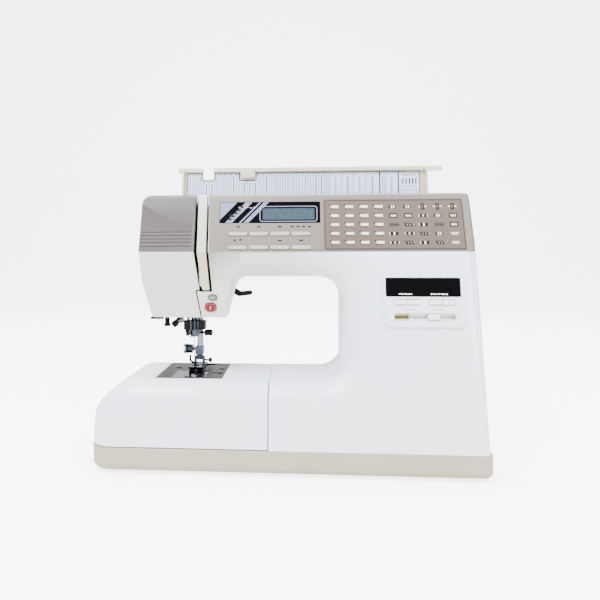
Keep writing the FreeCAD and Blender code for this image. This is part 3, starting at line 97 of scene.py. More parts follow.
MM = 0.001
needle_low, needle_high = (np.array(corner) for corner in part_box("needle"))
NEEDLE = np.array([*((needle_low + needle_high) / 2)[:2], 0.0])


def metres(points):
    """Metres in the model's frame of points given in millimetres from the needle and the table top."""
    return NEEDLE + MM * np.asarray(points, float)


print("pieces", len(frame["nodes"]), "box", [round(v, 4) for v in cad_high - cad_low])

# %% [markdown]
# ## Shader helpers and node groups
#
# A plastic housing is never one flat colour. The mould has a fine texture, light ages it in broad
# clouds, and handling leaves a faint grey. Metal shows the lines that its tool left. A dozen
# materials want these effects, so they are node groups that put out values only.

# %% Node helpers
def add_node(tree, kind, **settings):
    """New shader node of that kind, with its settings."""
    made = tree.nodes.new("ShaderNode" + kind)
    for key, value in settings.items():
        setattr(made, key, value)
    return made


def new_group(name, inputs, outputs):
    """Empty node group; inputs and outputs are (name, socket type, default) rows."""
    tree = bpy.data.node_groups.new(name, "ShaderNodeTree")
    for rows, side in ((inputs, "INPUT"), (outputs, "OUTPUT")):
        for label, kind, default in rows:
            socket = tree.interface.new_socket(name=label, in_out=side, socket_type="NodeSocket" + kind)
            if default is not None:
                socket.default_value = default
    return tree, tree.nodes.new("NodeGroupInput"), tree.nodes.new("NodeGroupOutput")


def noise(tree, vector, scale, detail=2.0, roughness=0.5):
    """Noise Texture node of that scale over vector."""
    made = add_node(tree, "TexNoise")
    made.inputs["Scale"].default_value = scale
    made.inputs["Detail"].default_value = detail
    made.inputs["Roughness"].default_value = roughness
    tree.links.new(vector, made.inputs["Vector"])
    return made


def ramp(tree, value, low, high, out_low=0.0, out_high=1.0):
    """Map Range node from low..high to out_low..out_high."""
    made = add_node(tree, "MapRange")
    for label, number in (("From Min", low), ("From Max", high), ("To Min", out_low), ("To Max", out_high)):
        made.inputs[label].default_value = number
    tree.links.new(value, made.inputs["Value"])
    return made.outputs["Result"]


def maths(tree, operation, a, b):
    """Output of a Math node; a and b are sockets or plain numbers."""
    made = add_node(tree, "Math", operation=operation)
    for socket, value in zip(made.inputs, (a, b)):
        if isinstance(value, (int, float)):
            socket.default_value = value
        else:
            tree.links.new(value, socket)
    return made.outputs[0]


# %% Group: texture of the mould
def build_mould_texture():
    """Height of a spark-eroded mould surface: fine pits plus a slow waviness of the wall."""
    tree, source, result = new_group(
        "mould_texture",
        [("Vector", "Vector", None), ("Pits", "Float", 1400.0), ("Waves", "Float", 9.0)],
        [("Height", "Float", None), ("Gloss", "Float", None)])
    pits = add_node(tree, "TexNoise")
    waves = add_node(tree, "TexNoise")
    pits.inputs["Detail"].default_value = 1.0
    waves.inputs["Detail"].default_value = 2.0
    for made, label in ((pits, "Pits"), (waves, "Waves")):
        tree.links.new(source.outputs["Vector"], made.inputs["Vector"])
        tree.links.new(source.outputs[label], made.inputs["Scale"])
    fine = maths(tree, "MULTIPLY", pits.outputs["Fac"], 0.35)
    tree.links.new(maths(tree, "ADD", fine, waves.outputs["Fac"]), result.inputs["Height"])
    tree.links.new(ramp(tree, waves.outputs["Fac"], 0.35, 0.65), result.inputs["Gloss"])
    return tree


# %% Group: ageing
def build_ageing():
    """Mask of broad yellowed clouds, stronger towards the table, with faint handling marks in it."""
    tree, source, result = new_group(
        "ageing",
        [("Vector", "Vector", None), ("Clouds", "Float", 11.0), ("Low", "Float", 0.0),
         ("High", "Float", 0.3)],
        [("Mask", "Float", None), ("Marks", "Float", None)])
    clouds = add_node(tree, "TexNoise")
    clouds.inputs["Detail"].default_value = 3.0
    tree.links.new(source.outputs["Vector"], clouds.inputs["Vector"])
    tree.links.new(source.outputs["Clouds"], clouds.inputs["Scale"])
    split = add_node(tree, "SeparateXYZ")
    tree.links.new(source.outputs["Vector"], split.inputs[0])
    height = add_node(tree, "MapRange")
    height.inputs["To Min"].default_value = 1.0
    height.inputs["To Max"].default_value = 0.25
    tree.links.new(split.outputs["Z"], height.inputs["Value"])
    tree.links.new(source.outputs["Low"], height.inputs["From Min"])
    tree.links.new(source.outputs["High"], height.inputs["From Max"])
    patches = ramp(tree, clouds.outputs["Fac"], 0.3, 0.75)
    tree.links.new(maths(tree, "MULTIPLY", patches, height.outputs["Result"]), result.inputs["Mask"])
    marks = noise(tree, source.outputs["Vector"], 60.0, 6.0, 0.7)
    tree.links.new(ramp(tree, marks.outputs["Fac"], 0.62, 0.8), result.inputs["Marks"])
    return tree


# %% Group: brushed or turned metal
def build_brushing():
    """Fine parallel lines: noise squeezed along one axis of the Mapping inside the group."""
    tree, source, result = new_group(
        "brushing",
        [("Vector", "Vector", None), ("Stretch", "Vector", (1.0, 40.0, 40.0))],
        [("Height", "Float", None), ("Streaks", "Float", None)])
    mapping = add_node(tree, "Mapping")
    tree.links.new(source.outputs["Vector"], mapping.inputs["Vector"])
    tree.links.new(source.outputs["Stretch"], mapping.inputs["Scale"])
    lines = noise(tree, mapping.outputs["Vector"], 60.0, 3.0, 0.6)
    blotches = noise(tree, source.outputs["Vector"], 90.0, 3.0, 0.6)
    tree.links.new(lines.outputs["Fac"], result.inputs["Height"])
    mixed = maths(tree, "ADD", maths(tree, "MULTIPLY", lines.outputs["Fac"], 0.6),
                  maths(tree, "MULTIPLY", blotches.outputs["Fac"], 0.4))
    tree.links.new(ramp(tree, mixed, 0.35, 0.65), result.inputs["Streaks"])
    return tree


MOULD_TEXTURE, AGEING, BRUSHING = build_mould_texture(), build_ageing(), build_brushing()

# %% [markdown]
# ## Plastics
#
# One recipe serves every moulded part: the colour drifts towards an aged one under the ageing
# mask, the roughness moves with the waviness of the wall, and the pits are a very shallow bump.
# What differs between parts is written once, in a table of finishes.

# %% Plastic recipe
def srgb(code):
    """Linear RGBA of a #rrggbb colour code."""
    channels = [int(code[i:i + 2], 16) / 255 for i in (1, 3, 5)]
    return [c / 12.92 if c <= 0.04045 else ((c + 0.055) / 1.055) ** 2.4 for c in channels] + [1.0]


def start_material(name):
    """New material, its tree, its Principled shader and its object coordinates."""
    material = bpy.data.materials.new(name)
    material.use_nodes = True
    tree = material.node_tree
    return material, tree, tree.nodes["Principled BSDF"], add_node(tree, "TexCoord").outputs["Object"]


def use_group(tree, group, vector, **values):
    """Group node in a material, with this material's own values on its inputs."""
    made = add_node(tree, "Group", node_tree=group)
    tree.links.new(vector, made.inputs["Vector"])
    for label, value in values.items():
        made.inputs[label].default_value = value
    return made


def blend_colours(tree, factor, first, second):
    """Colour Mix node from first to second by factor."""
    made = add_node(tree, "Mix", data_type="RGBA")
    made.inputs["A"].default_value = first
    made.inputs["B"].default_value = second
    tree.links.new(factor, made.inputs["Factor"])
    return made


def add_bump(tree, shader, height, strength, distance):
    """Bump from height into the shader's normal; distance is in metres."""
    made = add_node(tree, "Bump")
    made.inputs["Strength"].default_value = strength
    made.inputs["Distance"].default_value = distance
    tree.links.new(height, made.inputs["Height"])
    tree.links.new(made.outputs["Normal"], shader.inputs["Normal"])


HANDLING_GREY = "#6e6a62"


def plastic(name, colour, aged, roughness, pits=1400.0, depth=0.12, coat=0.0, specular=0.5):
    """Moulded plastic: colour drifting to aged, with mould texture. depth is the bump's strength."""
    material, tree, shader, place = start_material(name)
    texture = use_group(tree, MOULD_TEXTURE, place, Pits=pits)
    age = use_group(tree, AGEING, place, High=float(cad_high.z))
    tint = blend_colours(tree, age.outputs["Mask"], srgb(colour), srgb(aged))
    faint = maths(tree, "MULTIPLY", age.outputs["Marks"], 0.10)
    marks = blend_colours(tree, faint, srgb(colour), srgb(HANDLING_GREY))
    # On the white body the head and the arm get painted shade: a darker white than on the column.
    if name == "body_white":
        tint = paint_head_shade(tree, place, tint)
    tree.links.new(tint.outputs["Result"], marks.inputs["A"])
    tree.links.new(marks.outputs["Result"], shader.inputs["Base Color"])
    tree.links.new(ramp(tree, texture.outputs["Gloss"], 0.0, 1.0, roughness - 0.05, roughness + 0.05),
                   shader.inputs["Roughness"])
    add_bump(tree, shader, texture.outputs["Height"], depth, 0.0002)
    shader.inputs["Specular IOR Level"].default_value = specular
    shader.inputs["Coat Weight"].default_value = coat
    shader.inputs["Coat Roughness"].default_value = 0.08
    return material


def paint_head_shade(tree, place, tint):
    """Painted shade: a darker, warmer white on the head and the arm than on the column, where their fronts
    face down; a blend over x, only above the bed.
    """
    split = add_node(tree, "SeparateXYZ")
    tree.links.new(place, split.inputs[0])
    across = ramp(tree, split.outputs["X"], 0.075, -0.02)
    above = ramp(tree, split.outputs["Z"], 0.10, 0.16)
    both = maths(tree, "MULTIPLY", across, above)
    shaded_white = blend_colours(tree, both, srgb("#ffffff"), srgb("#c3c3bb"))
    tree.links.new(tint.outputs["Result"], shaded_white.inputs["A"])
    return shaded_white


# colour, aged colour and roughness, then pits, depth, coat and specular where they differ
PLASTICS = {
    "body_white": ("#dde7f8", "#dfe4ea", 0.30, 1500.0, 0.10),
    "pan_ivory": ("#a39d8c", "#9c957f", 0.38, 1200.0, 0.16),
    "lid_ivory": ("#cfcab6", "#c6bf9f", 0.34, 1300.0, 0.12),
    "panel_grey": ("#6b6561", "#645e59", 0.42, 900.0, 0.20),
    "cap_taupe": ("#4d4849", "#484342", 0.42, 900.0, 0.20),
    "membrane_brown": ("#54483f", "#4d4037", 0.50, 700.0, 0.22),
    "display_black": ("#020203", "#050507", 0.10, 2000.0, 0.02, 0.0, 0.12),
    "key_ivory": ("#a9a08f", "#a2967f", 0.36, 1500.0, 0.12),
    "button_red": ("#6c0010", "#64000e", 0.30, 1500.0, 0.08, 0.0, 0.25),
    "button_green": ("#6e8078", "#687a72", 0.34, 1500.0, 0.08),
    "ring_green": ("#2e3c36", "#2a3832", 0.34, 1500.0, 0.08),
    "slider_white": ("#f1f1ee", "#ebe7da", 0.30, 1500.0, 0.08),
    "black_plastic": ("#020202", "#060607", 0.35, 1100.0, 0.15, 0.0, 0.15),
    "board": ("#1f5a3a", "#184a30", 0.45, 500.0, 0.20),
    "ink_dark": ("#050508", "#08080c", 0.6, 900.0, 0.05, 0.0, 0.2),
    "ink_white": ("#eceae4", "#e2dfd6", 0.50, 900.0, 0.05),
    "ink_lavender": ("#6c7190", "#646985", 0.30, 900.0, 0.05),
    "chart_paper": ("#ccd8f0", "#c8d2e8", 0.42, 900.0, 0.06),
    "chart_ink": ("#04060f", "#080a16", 0.6, 900.0, 0.05, 0.0, 0.2),
    "chart_line": ("#1c2440", "#222a48", 0.6, 900.0, 0.05, 0.0, 0.2),
    "seam_shadow": ("#0a0907", "#12100c", 0.8, 900.0, 0.05, 0.0, 0.1),
    "well_yellow": ("#c9bf86", "#c2b678", 0.45, 900.0, 0.10),
    "ring_pink": ("#8a2030", "#821c2c", 0.36, 1500.0, 0.08),
    "tongue_ivory": ("#bdb496", "#b7ad8c", 0.34, 1300.0, 0.12),
}
finishes = {name: plastic(name, *values) for name, values in PLASTICS.items()}
print("plastics", len(finishes))

# %% [markdown]
# ## Metals, rubber and the clear cover
#
# Bright parts differ mostly in how they were finished: the presser bar is chromed, the needle
# plate brushed and dark, and the frame a sand casting. All use the brushing group, stretched
# along the way the tool ran.

# %% Metal recipe
def metal(name, colour, dark, roughness, stretch=(1.0, 30.0, 30.0), depth=0.15):
    """Bare metal: streaks shift colour and roughness, and the lines are a shallow bump."""
    material, tree, shader, place = start_material(name)
    brush = use_group(tree, BRUSHING, place, Stretch=stretch)
    tint = blend_colours(tree, brush.outputs["Streaks"], srgb(dark), srgb(colour))
    tree.links.new(tint.outputs["Result"], shader.inputs["Base Color"])
    tree.links.new(ramp(tree, brush.outputs["Streaks"], 0.0, 1.0, roughness + 0.10, roughness),
                   shader.inputs["Roughness"])
    add_bump(tree, shader, brush.outputs["Height"], depth, 0.0001)
    shader.inputs["Metallic"].default_value = 1.0
    return material


METALS = {
    "steel": ("#59606c", "#3a404a", 0.26),
    "dark_steel": ("#262320", "#191715", 0.34, (1.0, 40.0, 4.0), 0.22),
    "chrome": ("#8b919e", "#5e6470", 0.12, (30.0, 30.0, 1.0), 0.05),
    "cast": ("#8d9092", "#6d7072", 0.55, (6.0, 6.0, 6.0), 0.6),
    "motor": ("#777a80", "#54575d", 0.40, (1.0, 20.0, 20.0), 0.3),
}
finishes.update({name: metal(name, *values) for name, values in METALS.items()})


# %% [markdown]
# Three finishes are neither casing nor metal: matt rubber with a dusty bloom, clear plastic, which
# is real transmission with a few marks in its gloss, and a switched-off display under a coat.

# %% Rubber, clear plastic and glass
def rubber(name):
    """Matt black rubber with a dusty bloom in broad patches."""
    material, tree, shader, place = start_material(name)
    texture = use_group(tree, MOULD_TEXTURE, place, Pits=900.0, Waves=40.0)
    tint = blend_colours(tree, texture.outputs["Gloss"], srgb("#1b1b1c"), srgb("#2c2b2a"))
    tree.links.new(tint.outputs["Result"], shader.inputs["Base Color"])
    add_bump(tree, shader, texture.outputs["Height"], 0.3, 0.0003)
    shader.inputs["Roughness"].default_value = 0.8
    return material


def clear_plastic(name, colour):
    """Tinted clear plastic with a few fine handling marks in its gloss."""
    material, tree, shader, place = start_material(name)
    age = use_group(tree, AGEING, place, Clouds=30.0)
    tree.links.new(ramp(tree, age.outputs["Marks"], 0.0, 1.0, 0.05, 0.25), shader.inputs["Roughness"])
    shader.inputs["Base Color"].default_value = srgb(colour)
    shader.inputs["Transmission Weight"].default_value = 1.0
    shader.inputs["IOR"].default_value = 1.49
    return material


def lcd_glass(name):
    """Glossy grey-teal glass of a display that is switched off, with a faint fine grain."""
    material, tree, shader, place = start_material(name)
    cells = noise(tree, place, 500.0, 1.0)
    bright = ramp(tree, cells.outputs["Fac"], 0.4, 0.6)
    tint = blend_colours(tree, bright, srgb("#2b3b44"), srgb("#314450"))
    tree.links.new(tint.outputs["Result"], shader.inputs["Base Color"])
    shader.inputs["Roughness"].default_value = 0.12
    shader.inputs["Coat Weight"].default_value = 0.6
    return material


finishes["rubber"] = rubber("rubber")
finishes["clear_blue"] = clear_plastic("clear_blue", "#33456a")
finishes["lcd_glass"] = lcd_glass("lcd_glass")
print("materials", len(finishes))

# %% [markdown]
# ## Dressing the mechanical pieces
#
# The mechanical solids have knife-sharp edges, and nothing moulded does. So a copy of each mesh is
# merged, its flat faces are joined up, and a Bevel modifier rounds every edge a little. The copy
# stands in for the solid, and every fit stays exactly where the joints need it.

# %% Copy with soft edges
def link_piece(name, mesh, body, slot, material=None):
    """New object for mesh that rides on body and takes its finish from slot."""
    piece = bpy.data.objects.new(name, mesh)
    bpy.context.scene.collection.objects.link(piece)
    mesh.materials.clear()
    mesh.materials.append(finishes[material or slot])
    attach(piece, body)
    return piece


SAME_POINT = 2e-6
FLAT_ANGLE = 0.6
EDGE_ANGLE = 35.0


def soften(node, slot, width):
    """Copy of a mechanical piece with every edge sharper than EDGE_ANGLE rounded by width millimetres."""
    source = frame["nodes"][node]
    mesh = source.data.copy()
    mesh.name = node + "_moulded"
    work = bmesh.new()
    work.from_mesh(mesh)
    bmesh.ops.remove_doubles(work, verts=work.verts, dist=SAME_POINT)
    bmesh.ops.dissolve_degenerate(work, edges=work.edges, dist=SAME_POINT)
    bmesh.ops.dissolve_limit(work, angle_limit=math.radians(FLAT_ANGLE), verts=work.verts, edges=work.edges)
    work.to_mesh(mesh)
    work.free()
    mesh.shade_smooth()
    mesh.set_sharp_from_angle(angle=math.radians(EDGE_ANGLE))
    piece = link_piece(node + "_moulded", mesh, source["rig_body"], slot)
    bevel = piece.modifiers.new("soft_edges", "BEVEL")
    bevel.width = width * MM
    bevel.segments = 2
    bevel.limit_method = "ANGLE"
    bevel.angle_limit = math.radians(EDGE_ANGLE)
    bevel.use_clamp_overlap = False
    bevel.harden_normals = True
    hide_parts(node)
    return piece


# %% [markdown]
# The casting, the motor and the shells get the widest rounding, and stamped and turned metal a
# narrow one. Rounding catches the light along every edge, so a moulded case reads as moulded.

# %% Dress every piece
DRESS = {
    "body_white": (0.55, ["front_cover", "rear_cover", "face_cover", "speed_tablet", "extension_table",
                          "free_arm_cover"]),
    "pan_ivory": (0.7, ["base_pan"]),
    "lid_ivory": (0.5, ["top_lid", "top_tray"]),
    "panel_grey": (0.35, ["panel_bezel"]),
    "cap_taupe": (0.3, ["face_cap"]),
    "membrane_brown": (0.1, ["stitch_membrane"]),
    "display_black": (0.1, ["display_window"]),
    "key_ivory": (0.35, ["function_key_%d" % (i + 1) for i in range(8)]),
    "slider_white": (0.4, ["speed_slider", "width_rocker", "length_rocker", "handwheel"]),
    "button_red": (0.4, ["start_stop_button"]),
    "button_green": (0.4, ["needle_button"]),
    "black_plastic": (0.3, ["needle_clamp_screw", "threader_head", "foot_lock_button", "lifter_lever",
                            "needle_threader", "buttonhole_lever", "cover_release_button", "power_inlet",
                            "power_switch", "spool_pin", "winder_spindle", "bobbin_case"]),
    "steel": (0.12, ["needle_clamp", "needle_bar", "foot_holder", "foot_screw", "zigzag_foot", "main_shaft",
                     "lower_shaft", "rotary_hook", "needle_bar_frame", "feed_dog", "take_up_lever"]),
    "chrome": (0.03, ["presser_bar", "needle"]),
    "dark_steel": (0.15, ["needle_plate"]),
    "clear_blue": (0.2, ["bobbin_cover", "bobbin"]),
    "rubber": (0.2, ["rubber_feet", "drive_belt"]),
    "cast": (1.0, ["cast_frame"]),
    "motor": (0.8, ["motor"]),
    "board": (0.1, ["circuit_board"]),
}
pieces = {}
for finish, (width, nodes) in DRESS.items():
    for node in nodes:
        pieces[node] = soften(node, finish, width)
print("dressed", len(pieces), "left", sorted(set(frame["nodes"]) - set(pieces)))

# %% [markdown]
# ## Printing
#
# The printed signs are pieces too: closed tiles about a tenth of a millimetre proud of the face
# they belong to. Each face gets its own flat frame, so a sign is drawn in plain millimetres to
# the right and up the slope. The lettering of the real machine is left out, and short bars stand
# in for it.

# %% Flat frames on the leaning faces
class Face:
    """Flat frame on a face that leans back: a runs right, b up the slope and c straight out."""

    def __init__(self, y, z, lean):
        tilt = math.radians(lean)
        self.origin = np.array([0.0, y, z])
        self.axes = np.array([[1, 0, 0], [0, math.sin(tilt), math.cos(tilt)],
                              [0, -math.cos(tilt), math.sin(tilt)]])

    def place(self, points):
        """Metres in the model's frame of (a, b, c) points in millimetres, from origin along the axes."""
        return metres(self.origin + np.asarray(points, float) @ self.axes)


HEAD_TOP = 234.0
COLUMN_FOOT = 28.0
PANEL = Face(-60.3, HEAD_TOP, 15.13)
COLUMN = Face(-87.0, COLUMN_FOOT, 7.385)
HEAD = Face(-60.3, HEAD_TOP, -8.6)
OPEN_LID = Face(17.99, 294.29, 4.0)


# %% Outlines, as lists of (a, b) corners
def bar(a, b, width, height, slant=0.0):
    """Upright bar centred on a, b; slant leans its top to the right by that much."""
    w, h, s = width / 2, height / 2, slant / 2
    return [(a - w - s, b - h), (a + w - s, b - h), (a + w + s, b + h), (a - w + s, b + h)]


def full_turn(count):
    """Angles of count points evenly round a circle."""
    return np.arange(count) * 2 * math.pi / count


def dot(a, b, radius, count=8):
    """Polygon with corners at a + r cos t, b + r sin t."""
    turn = full_turn(count)
    return np.stack([a + radius * np.cos(turn), b + radius * np.sin(turn)], axis=1)


def rounded(low, high, radius, steps=5):
    """Rounded rectangle: quarter circles (r cos t, r sin t) about the four inner corners."""
    corners = ((high[0], low[1], -90), (high[0], high[1], 0), (low[0], high[1], 90), (low[0], low[1], 180))
    middle = (np.array(low) + np.array(high)) / 2
    points = []
    for a, b, start in corners:
        centre = np.array([a, b]) + radius * np.sign(middle - (a, b))
        turn = np.radians(start + np.linspace(0, 90, steps))
        points += list(zip(centre[0] + radius * np.cos(turn), centre[1] + radius * np.sin(turn)))
    return points


def stroke(points, width):
    """Bars along a bent line, one for each straight length of it."""
    bars = []
    for (a0, b0), (a1, b1) in zip(points[:-1], points[1:]):
        along = np.array([a1 - a0, b1 - b0], float)
        side = np.array([-along[1], along[0]]) * width / 2 / np.linalg.norm(along)
        start, end = np.array([a0, b0]), np.array([a1, b1])
        bars.append([start - side, end - side, end + side, start + side])
    return bars


def frame_bars(low, high, width):
    """Rectangle drawn as a line of that width."""
    corners = [low, (high[0], low[1]), high, (low[0], high[1]), low]
    return stroke(corners, width)


# %% [markdown]
# Each outline is carried straight out from its face into a thin closed prism, because a sign needs
# a thickness to catch light. Its faces come from one array of vertex numbers.

# %% Turn outlines into closed tiles
def walls(rings):
    """Quads i, i+1 on one row of vertex numbers joined to i+1, i on the next row, and round again."""
    following = np.roll(rings, -1, axis=1)
    return np.stack([rings[:-1], following[:-1], following[1:], rings[1:]], axis=2).reshape(-1, 4).tolist()


def lifted(outline, level):
    """Corners (a, b) of an outline as (a, b, level)."""
    return np.column_stack([outline, np.full(len(outline), level)])


def tiles(face, outlines, low, high):
    """Closed prism for each outline: its ring of corners at c = low, then again at c = high."""
    places, faces, start = [], [], 0
    for outline in outlines:
        ring = np.array(outline, float)
        following = np.roll(ring, -1, axis=0)
        if np.sum(ring[:, 0] * following[:, 1] - following[:, 0] * ring[:, 1]) < 0:
            ring = ring[::-1]
        places += [lifted(ring, low), lifted(ring, high)]
        numbers = start + np.arange(2 * len(ring)).reshape(2, -1)
        faces += [numbers[0, ::-1].tolist(), numbers[1].tolist(), *walls(numbers)]
        start += 2 * len(ring)
    return face.place(np.concatenate(places)), faces


def band(face, outer, inner, low, high):
    """Closed ring between two outlines with the same number of corners: four loops joined in a circle."""
    loops = [lifted(outer, low), lifted(outer, high), lifted(inner, high), lifted(inner, low)]
    numbers = np.arange(4 * len(outer)).reshape(4, -1)
    return face.place(np.concatenate(loops)), walls(np.concatenate([numbers, numbers[:1]]))


def add_mesh(name, shape, body, slot, material=None, smooth=False):
    """Piece from (vertices, faces), riding on body."""
    mesh = bpy.data.meshes.new(name)
    mesh.from_pydata(np.asarray(shape[0]).tolist(), [], shape[1])
    if smooth:
        mesh.shade_smooth()
        mesh.set_sharp_from_angle(angle=math.radians(40.0))
    return link_piece(name, mesh, body, slot, material)


INK_SUNK = 0.08


def print_on(name, face, outlines, slot, material, level, body="machine", depth=0.12):
    """Printed tiles whose top is depth above level, sunk a little so that nothing shows below."""
    return add_mesh(name, tiles(face, outlines, level - INK_SUNK, level + depth), body, slot, material)


# %% [markdown]
# The display window is one black sheet, with pale diagonal stripes at its left and a rounded line
# round the glass at its right. The stripes share one lean, so each is only a place and a width.

# %% Display: stripes on the left, light outline and the glass
SURFACE = 0.0
left, low, high = 39.3, 34.3, 58.5
STRIPE_LEAN = 0.93


def stripe(start, width):
    """Diagonal stripe across the window's height; start is its place on the lower edge."""
    rise = (high - low) * STRIPE_LEAN
    return [(start, low), (start + width, low), (start + width + rise, high), (start + rise, high)]


triangle = [(left, low + 3.5), (left + 19.0, high), (left, high)]
pale = [triangle, stripe(left + 6.0, 7.5), stripe(left + 21.5, 2.2), stripe(left + 26.5, 5.5)]
print_on("display_stripes", PANEL, pale, "display_black", "ink_lavender", SURFACE)
ticks = [bar(left + 11.5 + i * 3.3, low + 4.0 + i * 3.6, 3.6, 2.2) for i in range(5)]
ticks += [bar(left + 12.0, low + 8.6, 2.6, 2.4)]
print_on("display_squares", PANEL, ticks, "display_black", "black_plastic", SURFACE + 0.1)
lines = [bar(left + 22.0 + i * 4.2, high - 6.0 - (i % 2) * 0.5, 2.6, 0.5) for i in range(5)]
print_on("display_marks", PANEL, lines, "display_black", "ink_white", SURFACE + 0.1, depth=0.06)
outer, inner = rounded((83.6, 35.2), (147.9, 53.9), 3.2), rounded((84.6, 36.1), (146.9, 53.0), 2.4)
line = band(PANEL, outer, inner, -0.05, 0.16)
add_mesh("display_outline", line, "machine", "display_black", "ink_lavender")
outer, inner = rounded((86.4, 36.9), (145.4, 51.9), 1.2), rounded((87.2, 37.6), (144.6, 51.2), 0.8)
add_mesh("glass_rim", band(PANEL, outer, inner, -0.05, 0.30), "machine", "display_black", "black_plastic")
add_mesh("glass", tiles(PANEL, [rounded((87.0, 37.4), (144.8, 51.4), 0.9)], -0.05, 0.14), "machine",
         "display_black", "lcd_glass")

print("display stripes", len(pale), "marks", len(ticks) + len(lines))

# %% [markdown]
# Short dark words stand above the function keys. At this size a word reads as a bar, so a bar is
# what is made; two small triangles stand over the first key of the lower row.

# %% Marks round the keys
signs = [bar(a, 29.4, 4.0, 1.5) for a in (60.1, 83.1, 106.4)]
signs += [bar(a, 29.4, 3.6, 1.5) for a in (120.0, 126.3, 132.6, 138.9)]
signs += [bar(a, 13.4, 4.2, 1.5) for a in (106.4, 129.6)]
signs += [[(55.0, 12.5), (58.2, 12.5), (56.6, 15.2)], [(61.3, 15.2), (64.5, 15.2), (62.9, 12.5)]]
print_on("key_marks", PANEL, signs, "panel_grey", "ink_dark", SURFACE)


# %% [markdown]
# The stitch panel has nine columns and five rows. The first four columns are numbered programs,
# drawn as a pale bar with a dark spot and a comb of ticks. The others show the pattern itself, so
# each gets a small motif from a handful of strokes.

# %% Stitch panel
COLUMNS = np.linspace(166.5, 294.8, 9)
ROWS = (52.1, 41.5, 31.1, 20.8, 10.6)
pale_marks, dark_marks = [], []


def program(a, b, index):
    """Pale slanted bar over a comb of ticks, with a dark spot at its upper left."""
    pale_marks.append(bar(a + 0.4, b + 0.7, 8.4, 2.1, 1.0))
    pale_marks.append(bar(a + 1.2, b - 1.0, 7.4, 0.7))
    for i in range(5):
        dark_marks.append(bar(a - 3.0 + 1.7 * i, b - 1.9 - 0.3 * ((i + index) % 2), 0.8, 1.5, 0.3))
    dark_marks.append(dot(a - 4.9, b + 2.1, 0.8))


def motif(a, b, kind):
    """Small stitch picture of that kind, about nine millimetres wide."""
    if kind == "frame":
        dark_marks.extend(frame_bars((a - 4.0, b - 2.0), (a + 4.0, b + 2.4), 0.9))
        pale_marks.extend(bar(a - 2.4 + 1.6 * i, b, 0.7, 2.6) for i in range(4))
    elif kind == "ring":
        dark_marks.extend(frame_bars((a - 1.4, b - 3.2), (a + 1.4, b + 3.2), 1.0))
        pale_marks.extend([bar(a - 3.4, b, 2.2, 1.2), bar(a + 3.4, b, 2.2, 1.2)])
    elif kind == "bars":
        for side in (-1, 1):
            c = a + side * 3.2
            dark_marks.extend(stroke([(c - 1.4, b - 2), (c, b), (c - 1.4, b + 2)], 1.1))
            pale_marks.append(bar(a + side * 1.4, b, 1.2, 3.0))
    elif kind == "crescents":
        for i in range(4):
            c = a - 4.4 + 2.6 * i
            dark_marks.append([(c - 0.4, b - 2.7), (c + 2.1, b), (c - 0.4, b + 2.7), (c + 0.5, b)])
    elif kind == "leaves":
        for i in range(3):
            c = a - 3.6 + 3.0 * i
            leaf = [(c - 1.6, b + 2.6), (c - 0.2, b - 1.4), (c + 1.8, b - 2.6), (c + 1.3, b + 0.8)]
            dark_marks.append(leaf)
        pale_marks.append(bar(a, b + 0.1, 8.4, 0.6, 0.4))
    elif kind == "cross":
        for side in (-1, 1):
            c = a + side * 2.6
            dark_marks.extend(stroke([(c - 1.4, b - 1.8), (c + 1.4, b + 1.8)], 1.1))
            dark_marks.extend(stroke([(c - 1.4, b + 1.8), (c + 1.4, b - 1.8)], 1.1))
        pale_marks.extend([dot(a, b, 0.9), bar(a - 4.4, b, 0.7, 3.0), bar(a + 4.4, b, 0.7, 3.0)])
    elif kind == "block":
        dark_marks.extend([bar(a - 2.8, b, 2.6, 3.8), bar(a + 2.9, b, 2.4, 3.8)])
        pale_marks.extend([bar(a, b, 1.4, 3.2), bar(a - 4.9, b, 0.6, 3.0)])
    else:
        pale_marks.extend([bar(a, b + 0.8, 8.2, 1.0), bar(a, b - 0.9, 6.4, 0.8)])


PICTURES = [["bars", "bars", "ring", "ring", "ring"],
            ["frame", "frame", "cross", "bars", "frame"],
            ["crescents", "leaves", "block", "crescents", "frame"],
            ["block", "cross", "leaves", "bars", "words"],
            ["cross", "leaves", "block", "leaves", "words"]]
PROGRAM_COLUMNS = 4
for row, b in enumerate(ROWS):
    for column, a in enumerate(COLUMNS):
        if column < PROGRAM_COLUMNS:
            program(a, b, row + column)
        else:
            motif(a, b, PICTURES[row][column - PROGRAM_COLUMNS])
FILM = 0.25
print_on("stitch_pale", PANEL, pale_marks, "membrane_brown", "ink_white", FILM)
print_on("stitch_dark", PANEL, dark_marks, "membrane_brown", "ink_dark", FILM, depth=0.16)
border = frame_bars((156.2, 3.7), (304.8, 59.8), 0.45)
print_on("stitch_border", PANEL, border, "membrane_brown", "ink_dark", FILM)
print("stitch marks", len(pale_marks) + len(dark_marks))

# %% [markdown]
# The chart inside the lid is a paper label with a dark outline that steps round two notches. It
# has narrow columns, one for each stitch, and wider ones at the right.

# %% Chart in the lid
paper_low, paper_high = 1.5, 42.6
notches = ((5.4, 22.7, 10.2), (53.8, 75.2, 9.6))
chart_left, chart_right = -13.0, 279.0
lower, upper = paper_high - 10.4, paper_high - 10.6
sheet = [[(chart_left, paper_low), (chart_right, paper_low), (chart_right, lower), (chart_left, lower)]]
tabs = (chart_left, notches[0][0]), (notches[0][1], notches[1][0]), (notches[1][1], chart_right)
for start, end in tabs:
    sheet.append([(start, upper), (end, upper), (end, paper_high), (start, paper_high)])
print_on("chart_sheet", OPEN_LID, sheet, "lid_ivory", "chart_paper", SURFACE, "lid", 0.1)


def under_notch(a):
    """Height the chart reaches at a."""
    for start, end, depth in notches:
        if start - 0.5 < a < end + 0.5:
            return paper_high - depth - 0.6
    return paper_high


